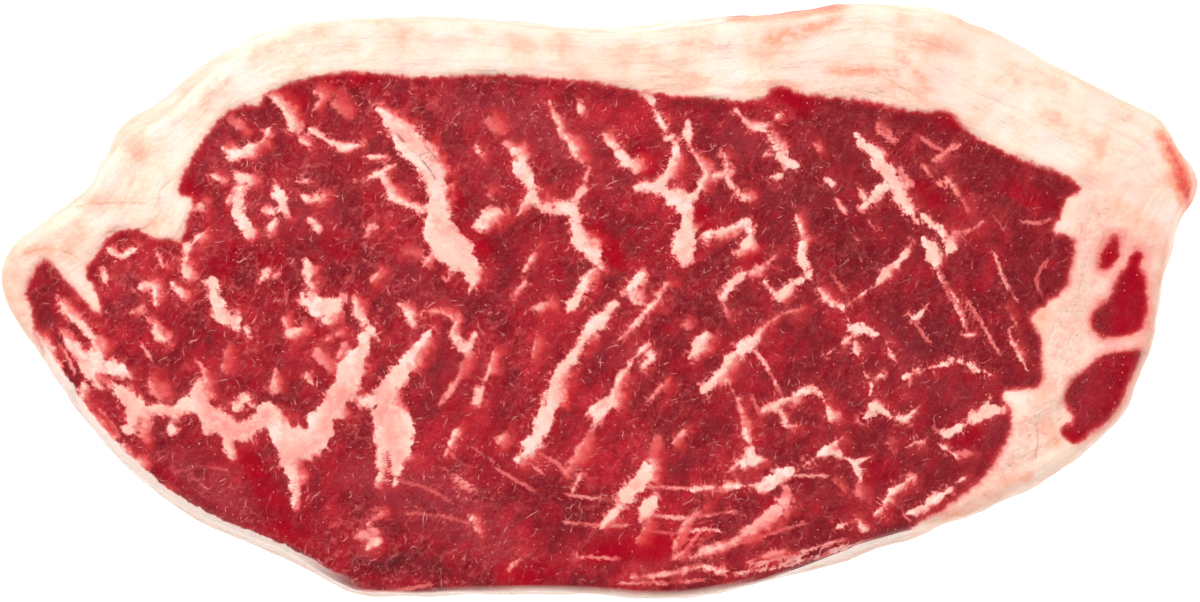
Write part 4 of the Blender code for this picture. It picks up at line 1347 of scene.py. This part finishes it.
    def _lean(
        self, graph: Graph, field_of: dict, at: Socket, bent: Socket
    ) -> tuple[Socket, Socket, Socket]:
        """The lean's mottled red, with threads, hairs and the grain of its fibres.

        Args:
            graph: The material's graph.
            field_of: The vertex fields.
            at: Places in millimetres.
            bent: The same, pushed about, for patterns that curl.

        Returns:
            Its colour, its bump's height, and where the pale specks lie: partly tissue, partly painted
            glints.
        """
        broad = graph.grain(at, 0.07, 3.0, 0.55)
        mottle = graph.grain(bent, 0.24, 3.0, 0.55)
        slanted = graph.stretch(at, (0.13, 0.62, 0.62), self.fibre_turn)
        fibres = graph.grain(slanted, 1.0, 3.0, 0.6)
        x = graph.parts(at)[0]
        bundle_at = graph.stretch(bent, (0.34, 0.56, 0.50), self.fibre_turn)
        inputs = {"Vector": bundle_at, "Scale": 1.0}
        bundle = graph.node("ShaderNodeTexVoronoi", inputs, feature="SMOOTH_F1")
        bundle = graph.node("ShaderNodeSeparateColor", {0: bundle.outputs["Color"]}).outputs[0]
        seams = graph.ramp(graph.cells(bundle_at, 1.0, "DISTANCE_TO_EDGE"), 0.01, 0.13, 1.0, 0.0)
        tone = graph.times_add(broad, 0.9, graph.times_add(mottle, 0.65, graph.times(fibres, 0.25)))
        tone = graph.times_add(bundle, 0.26, graph.add(tone, graph.ramp(x, 5.0, 70.0, -0.08, -0.21)))
        colour = graph.blend(graph.ramp(tone, 0.78, 0.98), self.lean_dark, self.lean_mid)
        colour = graph.blend(graph.ramp(tone, 0.98, 1.18), colour, self.lean_bright)
        soft = graph.ramp(mottle, 0.3, 0.6, 0.55, 1.0)
        clear = graph.times(graph.most(field_of["bright"], 0.0), soft)
        deep = graph.times(graph.most(graph.times(field_of["bright"], -1.0), 0.0), soft)
        calm = graph.less(1.0, clear)
        colour = graph.blend(clear, colour, self.lean_clear)
        colour = graph.blend(graph.times(field_of["dull"], graph.times(soft, 0.8)), colour, self.lean_dull)
        colour = graph.blend(deep, colour, self.lean_deep)

        fine_at = graph.stretch(bent, (0.40, 2.2, 2.2), self.fibre_turn)
        strands = graph.grain(fine_at, 1.0, 2.0, 0.6)
        colour = graph.blend(graph.ramp(strands, 0.30, 0.46, 0.25, 0.0), colour, self.lean_dark)
        pale = graph.times(graph.ramp(strands, 0.56, 0.72), graph.ramp(fibres, 0.42, 0.60, 0.02, 0.30))
        pale = graph.times(pale, calm)
        colour = graph.blend(pale, colour, self.salmon)
        haze = graph.ramp(graph.grain(bent, 0.70, 5.0, 0.66), 0.52, 0.74)
        left = graph.ramp(x, -62.0, -22.0, 1.0, 0.0)
        seams = graph.times(seams, graph.ramp(graph.grain(bent, 0.55, 3.0, 0.6), 0.44, 0.62, 0.0, 0.45))
        seams = graph.times(seams, graph.times_add(left, 0.9, 1.0))
        haze = graph.most(haze, seams)
        region = graph.ramp(graph.grain(at, 0.10, 2.0), 0.36, 0.66, 0.10, 0.62)
        region = graph.times(region, graph.ramp(x, 0.0, 70.0, 1.0, 0.55))
        haze = graph.times(haze, region)
        haze = graph.times(haze, calm)
        colour = graph.blend(haze, colour, self.salmon)

        gritty = graph.grain(at, 2.1, 3.0, 0.7)
        colour = graph.blend(
            graph.times(graph.ramp(gritty, 0.30, 0.46, 0.45, 0.0), calm), colour, self.lean_dark
        )
        colour = graph.blend(
            graph.times(graph.ramp(gritty, 0.56, 0.72, 0.0, 0.28), calm), colour, self.salmon
        )

        curls, hairs, specks_and_glints = (
            layer.cover(graph, spot) for layer, spot in zip(self.wisps, (bent, bent, at))
        )
        hair = graph.most(curls, hairs)
        hair = graph.times(hair, graph.ramp(graph.grain(bent, 0.35, 3.0), 0.42, 0.66, 0.0, 0.62))
        hair = graph.times(hair, graph.times(calm, graph.ramp(x, 10.0, 60.0, 1.0, 0.5)))
        hair = graph.times(hair, graph.times_add(left, 0.3, 1.0), clamp=True)
        colour = graph.blend(hair, colour, self.hairs)

        strand = []
        for scale, sway, seed in ((0.9, 1.5, 0.0), (1.4, 1.9, 9.0)):
            moved = graph.vector("ADD", at, (seed,) * 3)
            offset = graph.times_add(graph.grain(moved, scale, 2.0), sway, field_of["thread_offset"])
            offset = graph.math("ABSOLUTE", graph.less(offset, sway / 2))
            strand.append(graph.ramp(offset, 0.05, 0.45, 1.0, 0.0))
        thread = graph.most(*strand)
        thread = graph.times(
            thread, graph.times(field_of["thread_weight"], graph.ramp(mottle, 0.36, 0.52, 0.35, 1.1))
        )
        colour = graph.blend(graph.ramp(thread, 0.0, 0.5, 0.0, 0.75), colour, self.salmon)
        colour = graph.blend(graph.ramp(thread, 0.50, 1.0, 0.0, 0.85), colour, self.threads)

        fine = graph.times(graph.grain(bent, 1.8, 3.0, 0.65), calm)
        height = graph.times_add(fine, 0.80, graph.times(mottle, 0.8))
        height = graph.times_add(hair, 0.12, height)
        height = graph.times_add(thread, 0.08, height)
        return colour, height, specks_and_glints

    def _marbling(
        self, graph: Graph, field_of: dict, at: Socket, fray: Socket, lean: Socket
    ) -> tuple[Socket, Socket]:
        """The marbling with its frayed edges, and beside it a painted glow of light through translucent fat.

        Args:
            graph: The material's graph.
            field_of: The vertex fields.
            at: Places in millimetres.
            fray: Noise that frays edges.
            lean: The lean's colour.

        Returns:
            The lean's colour with the marbling on it, and the marbling's cover, from 0 to 1.
        """
        offset, radius = field_of["vein_offset"], field_of["vein_radius"]
        line = graph.less(radius, graph.math("ABSOLUTE", offset))
        allowed = graph.ramp(radius, 0.35, 0.80, 0.40, 0.0)
        line = graph.math("MINIMUM", line, graph.add(field_of["vein_edge"], allowed))
        edge = graph.most(field_of["vein_edge"], line)
        x, y, _ = graph.parts(at)
        slow = graph.times(graph.add(x, y), 0.4)
        fringe_at = graph.join(field_of["vein_along"], graph.times(field_of["vein_edge"], 0.8), slow)
        fringe = graph.grain(fringe_at, 1.5, 3.0, 0.6)
        both = graph.times_add(fringe, 0.45, graph.times_add(fray, 1.3, -0.875))
        both = graph.times(both, graph.ramp(radius, 0.3, 1.8, 1.5, 2.7))
        swell = graph.less(graph.grain(at, 0.32, 3.0), 0.52)
        both = graph.times_add(swell, graph.ramp(radius, 0.3, 1.8, 1.8, 3.6), both)
        edge = graph.add(edge, graph.add(both, graph.ramp(x, 18.0, 45.0, 0.0, -0.20)))
        strength = graph.ramp(field_of["vein_strength"], 0.25, 1.0, 0.30, 1.0)
        strength = graph.times(strength, graph.ramp(graph.grain(at, 0.38, 2.0), 0.34, 0.50, 0.72, 1.0))
        patches = graph.grain(at, 0.16, 3.0)
        # Painted light: one side of each vein is taken as lit, and gets a softer edge, more glow, a salmon
        # blush and pinker marbling
        side = graph.ramp(field_of["vein_side"], -0.5, 0.9)
        lit = graph.times(side, graph.ramp(patches, 0.42, 0.58))
        lit = graph.times(lit, graph.ramp(x, 22.0, 50.0, 1.0, 0.40))
        softness = graph.times_add(lit, 1.2, graph.ramp(x, 22.0, 50.0, 0.60, 0.42))
        cover = graph.ramp(graph.math("DIVIDE", edge, softness), -0.9, 1.0)
        strand_at = graph.stretch(fringe_at, (3.0, 0.7, 1.0))
        strand = graph.times(
            graph.ramp(graph.grain(strand_at, 1.0, 1.0), 0.56, 0.68), graph.ramp(edge, -1.9, -0.2)
        )
        cover = graph.times(graph.most(cover, graph.times(strand, 0.45)), strength)

        # Painted glow: red and salmon beside the marbling stand in for light through the fat; the salmon at
        # the edge itself is partly the edge's own pink
        glow = graph.times(graph.ramp(edge, -2.8, -0.2), graph.times_add(lit, 0.85, 0.10))
        colour = graph.blend(glow, lean, self.glow)
        blush = graph.times(graph.ramp(edge, -1.3, 0.0), graph.times(lit, 0.35))
        colour = graph.blend(blush, colour, self.salmon)
        colour = graph.blend(graph.ramp(cover, 0.05, 0.45), colour, self.salmon)
        # The marbling's pink is its own tone, made stronger on the lit side as painted glow
        tint = graph.ramp(graph.grain(at, 0.55, 4.0, 0.6), 0.40, 0.66)
        tint = graph.times(tint, graph.times_add(lit, 0.6, 0.25))
        tint = graph.most(tint, graph.times(field_of["rosy"], graph.ramp(fray, 0.36, 0.56, 0.55, 1.0)))
        white = graph.ramp(graph.grain(at, 0.27, 3.0), 0.46, 0.60, 0.0, 0.8)
        fat = graph.blend(tint, graph.blend(white, self.marbling, self.white), self.pink)
        return graph.blend(graph.ramp(cover, 0.25, 0.95), colour, fat), cover

    def _fat(
        self, graph: Graph, field_of: dict, at: Socket, fray: Socket
    ) -> tuple[Socket, Socket]:
        """The cap's cream fat, layered along the outline.

        Args:
            graph: The material's graph.
            field_of: The vertex fields.
            at: Places in millimetres.
            fray: Noise that mottles the rosy fat.

        Returns:
            Its colour and its bump's height.
        """
        parts = graph.parts(at)
        along = [graph.times(part, 0.16) for part in parts[:2]]
        layer_at = graph.join(along[0], along[1], field_of["layer"])
        layers = graph.grain(layer_at, 0.55, 4.0, 0.6)
        clouds = graph.grain(at, 0.12, 4.0, 0.6)
        colour = graph.blend(graph.ramp(clouds, 0.38, 0.58), self.cream, self.butter)
        colour = graph.blend(graph.ramp(clouds, 0.53, 0.70, 0.0, 0.65), colour, self.peach)
        blush = graph.times(graph.ramp(layers, 0.52, 0.72), 0.40)
        colour = graph.blend(blush, colour, self.rose)
        curd = graph.grain(at, 0.75, 4.0, 0.65)
        colour = graph.blend(graph.times(field_of["rosy"], 0.85), colour, self.tallow)
        rosy = graph.times(field_of["rosy"], graph.ramp(curd, 0.42, 0.62, 0.10, 0.95))
        colour = graph.blend(rosy, colour, self.rose)
        warmth = graph.ramp(graph.grain(at, 0.055, 2.0), 0.42, 0.62, 0.0, 0.35)
        colour = graph.blend(warmth, colour, self.rose)
        ragged = graph.ramp(graph.grain(at, 0.42, 5.0, 0.65), 0.34, 0.60, 0.30, 1.35)
        smudge = graph.times(field_of["peach"], ragged, clamp=True)
        colour = graph.blend(smudge, colour, self.peach)
        stain = graph.less(field_of["peach"], graph.ramp(fray, 0.35, 0.65, 0.9, 1.3), clamp=True)
        colour = graph.blend(stain, colour, self.stain)
        grains = graph.ramp(graph.cells(at, 0.70, "DISTANCE_TO_EDGE"), 0.0, 0.16, 1.0, 0.0)
        grains = graph.times(grains, graph.times(field_of["rosy"], graph.ramp(curd, 0.42, 0.62)))
        colour = graph.blend(graph.times(grains, 0.24), colour, self.pink)
        reach = graph.times_add(field_of["rosy"], 0.06, 0.07)
        pores = graph.ramp(graph.math("DIVIDE", graph.cells(at, 0.55, "F1"), reach), 0.4, 1.1, 1.0, 0.0)
        spread = graph.times_add(field_of["rosy"], 0.12, graph.grain(at, 0.13, 1.0))
        pores = graph.times(pores, graph.ramp(spread, 0.5, 0.6))
        colour = graph.blend(graph.times(pores, 0.7), colour, self.hide_and_crease_shade)
        height = graph.times_add(layers, 1.7, graph.times_add(curd, 1.1, graph.times(clouds, 2.2)))
        height = graph.times_add(graph.times(field_of["rosy"], curd), 0.9, height)
        height = graph.times_add(pores, -0.6, height)
        height = graph.times_add(grains, -0.15, height)
        return colour, height

    def _wall(
        self,
        graph: Graph,
        field_of: dict,
        bent: Socket,
        on_fat: Socket,
        colour: Socket,
    ) -> Socket:
        """The wall's skin: drier browned fat on the cap, and a pale film of tissue over the lean.

        Args:
            graph: The material's graph.
            field_of: The vertex fields.
            bent: Places in millimetres, pushed about.
            on_fat: Where the fat is.
            colour: The colour without a wall.

        Returns:
            The colour with the wall's skin over it.
        """
        long_at = graph.stretch(bent, (0.10, 0.10, 0.55))
        drawn = graph.grain(long_at, 0.9, 5.0, 0.6)
        dry = graph.blend(
            graph.ramp(drawn, 0.36, 0.68, 0.10, 0.60), graph.blend(on_fat, self.butter, colour), self.hide_and_crease_shade
        )
        veil = graph.ramp(drawn, 0.38, 0.64, 0.99, 0.82)
        filmed = graph.blend(veil, colour, self.film)
        layer = field_of["layer"]
        tan = graph.times(
            graph.ramp(layer, -11.0, -6.0, 0.7, 0.0), graph.ramp(layer, -19.0, -14.0, 0.3, 1.0)
        )
        filmed = graph.blend(tan, filmed, self.hide_and_crease_shade)
        skin = graph.blend(graph.ramp(field_of["fat_edge"], -5.0, 4.0), filmed, dry)
        bare = graph.ramp(field_of["peach"], 0.9, 1.6, 1.0, 0.35)
        return graph.blend(graph.times(field_of["wall"], bare), colour, skin)


@dataclass
class Studio:
    """A pale floor, a bright room with a dark ceiling, soft lamps, and the camera above."""

    floor_size: float = 6.0
    camera_height: float = 1.2
    camera_plan: tuple = (-0.00010, 0.00010)
    sensor: float = 36.0
    frame_height: float = 0.016
    closeness: float = 1.005
    room_light: float = 0.38
    ceiling_light: float = 0.08
    ceiling_starts: float = 0.30
    ceiling_full: float = 0.80
    floor_colour: tuple = (0.60, 0.60, 0.60, 1.0)
    floor_glow: float = 0.70
    lamps: tuple = (
        ("back_left_lamp", (-0.8, 0.9, 0.95), 0.5, 18.8),
        ("front_right_lamp", (1.0, -0.7, 0.9), 0.8, 8.4),
        ("front_left_lamp", (-0.9, -0.9, 0.9), 0.8, 7.6),
        ("back_right_lamp", (0.9, 0.8, 0.9), 0.8, 9.0),
    )

    def floor(self) -> bpy.types.Object:
        """The floor that the steak lies on."""
        bm = bmesh.new()
        bmesh.ops.create_grid(bm, x_segments=1, y_segments=1, size=self.floor_size / 2)
        mesh = bpy.data.meshes.new("studio_floor")
        bm.to_mesh(mesh)
        bm.free()
        floor = bpy.data.objects.new("studio_floor", mesh)
        graph = Graph("studio_paper")
        inputs = {
            "Base Color": self.floor_colour,
            "Roughness": 0.9,
            "Emission Color": (1.0, 1.0, 1.0, 1.0),
            "Emission Strength": self.floor_glow,
        }
        shader = graph.node("ShaderNodeBsdfPrincipled", inputs)
        graph.node("ShaderNodeOutputMaterial", {"Surface": shader.outputs[0]})
        mesh.materials.append(graph.material)
        bpy.context.scene.collection.objects.link(floor)
        return floor

    def room(self) -> None:
        """Bright walls and a darker ceiling, so that level wet meat doesn't mirror white."""
        world = bpy.data.worlds.new("studio_room")
        bpy.context.scene.world = world
        world.use_nodes = True
        tree = world.node_tree
        tree.nodes.clear()
        place = tree.nodes.new("ShaderNodeTexCoord")
        parts = tree.nodes.new("ShaderNodeSeparateXYZ")
        ramp = tree.nodes.new("ShaderNodeMapRange")
        ramp.interpolation_type = "SMOOTHSTEP"
        for key, value in (
            ("From Min", self.ceiling_starts),
            ("From Max", self.ceiling_full),
            ("To Min", self.room_light),
            ("To Max", self.ceiling_light),
        ):
            ramp.inputs[key].default_value = value
        background = tree.nodes.new("ShaderNodeBackground")
        output = tree.nodes.new("ShaderNodeOutputWorld")
        tree.links.new(place.outputs["Generated"], parts.inputs[0])
        tree.links.new(parts.outputs[2], ramp.inputs["Value"])
        sight = tree.nodes.new("ShaderNodeLightPath").outputs["Is Camera Ray"]
        brighter = tree.nodes.new("ShaderNodeMath")
        brighter.operation = "MAXIMUM"
        tree.links.new(ramp.outputs[0], brighter.inputs[0])
        tree.links.new(sight, brighter.inputs[1])
        tree.links.new(brighter.outputs[0], background.inputs["Strength"])
        tree.links.new(background.outputs[0], output.inputs["Surface"])

    def lamp(self, name: str, place: tuple[float, float, float], size: float, power: float) -> None:
        """A soft square lamp that looks at the steak.

        Args:
            name: The lamp's name.
            place: Where it stands.
            size: Its side.
            power: Its power in watts.
        """
        light = bpy.data.lights.new(name, "AREA")
        light.size = size
        light.energy = power
        lamp = bpy.data.objects.new(name, light)
        lamp.location = place
        lamp.rotation_euler = Vector(place).to_track_quat("Z", "Y").to_euler()
        lamp.visible_camera = False
        bpy.context.scene.collection.objects.link(lamp)

    def camera(self) -> None:
        """The camera straight above, framed as the photo is."""
        lens = bpy.data.cameras.new("camera")
        lens.sensor_width = self.sensor
        distance = self.camera_height - self.frame_height
        lens.lens = self.sensor * distance / (PHOTO_SIZE[0] * PIXEL) * self.closeness
        camera = bpy.data.objects.new("camera", lens)
        camera.location = (*self.camera_plan, self.camera_height)
        bpy.context.scene.collection.objects.link(camera)
        bpy.context.scene.camera = camera

    def build(self) -> None:
        """Sets the whole studio up."""
        self.floor()
        self.room()
        for lamp in self.lamps:
            self.lamp(*lamp)
        self.camera()
        bpy.context.scene.view_settings.view_transform = "Standard"
        bpy.context.scene.view_settings.look = "None"


def main() -> None:
    """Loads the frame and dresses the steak."""
    logging.basicConfig(level=logging.INFO, format="%(message)s")
    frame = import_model()

    flesh = SteakBody().build()
    flesh.data.materials.append(FleshFinish().build())
    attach(flesh, "root")
    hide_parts(*frame["nodes"])
    LOG.info("steak_flesh: %d faces, over %s", len(flesh.data.polygons), ", ".join(frame["nodes"]))

    Studio().build()


if __name__ == "__main__":
    main()
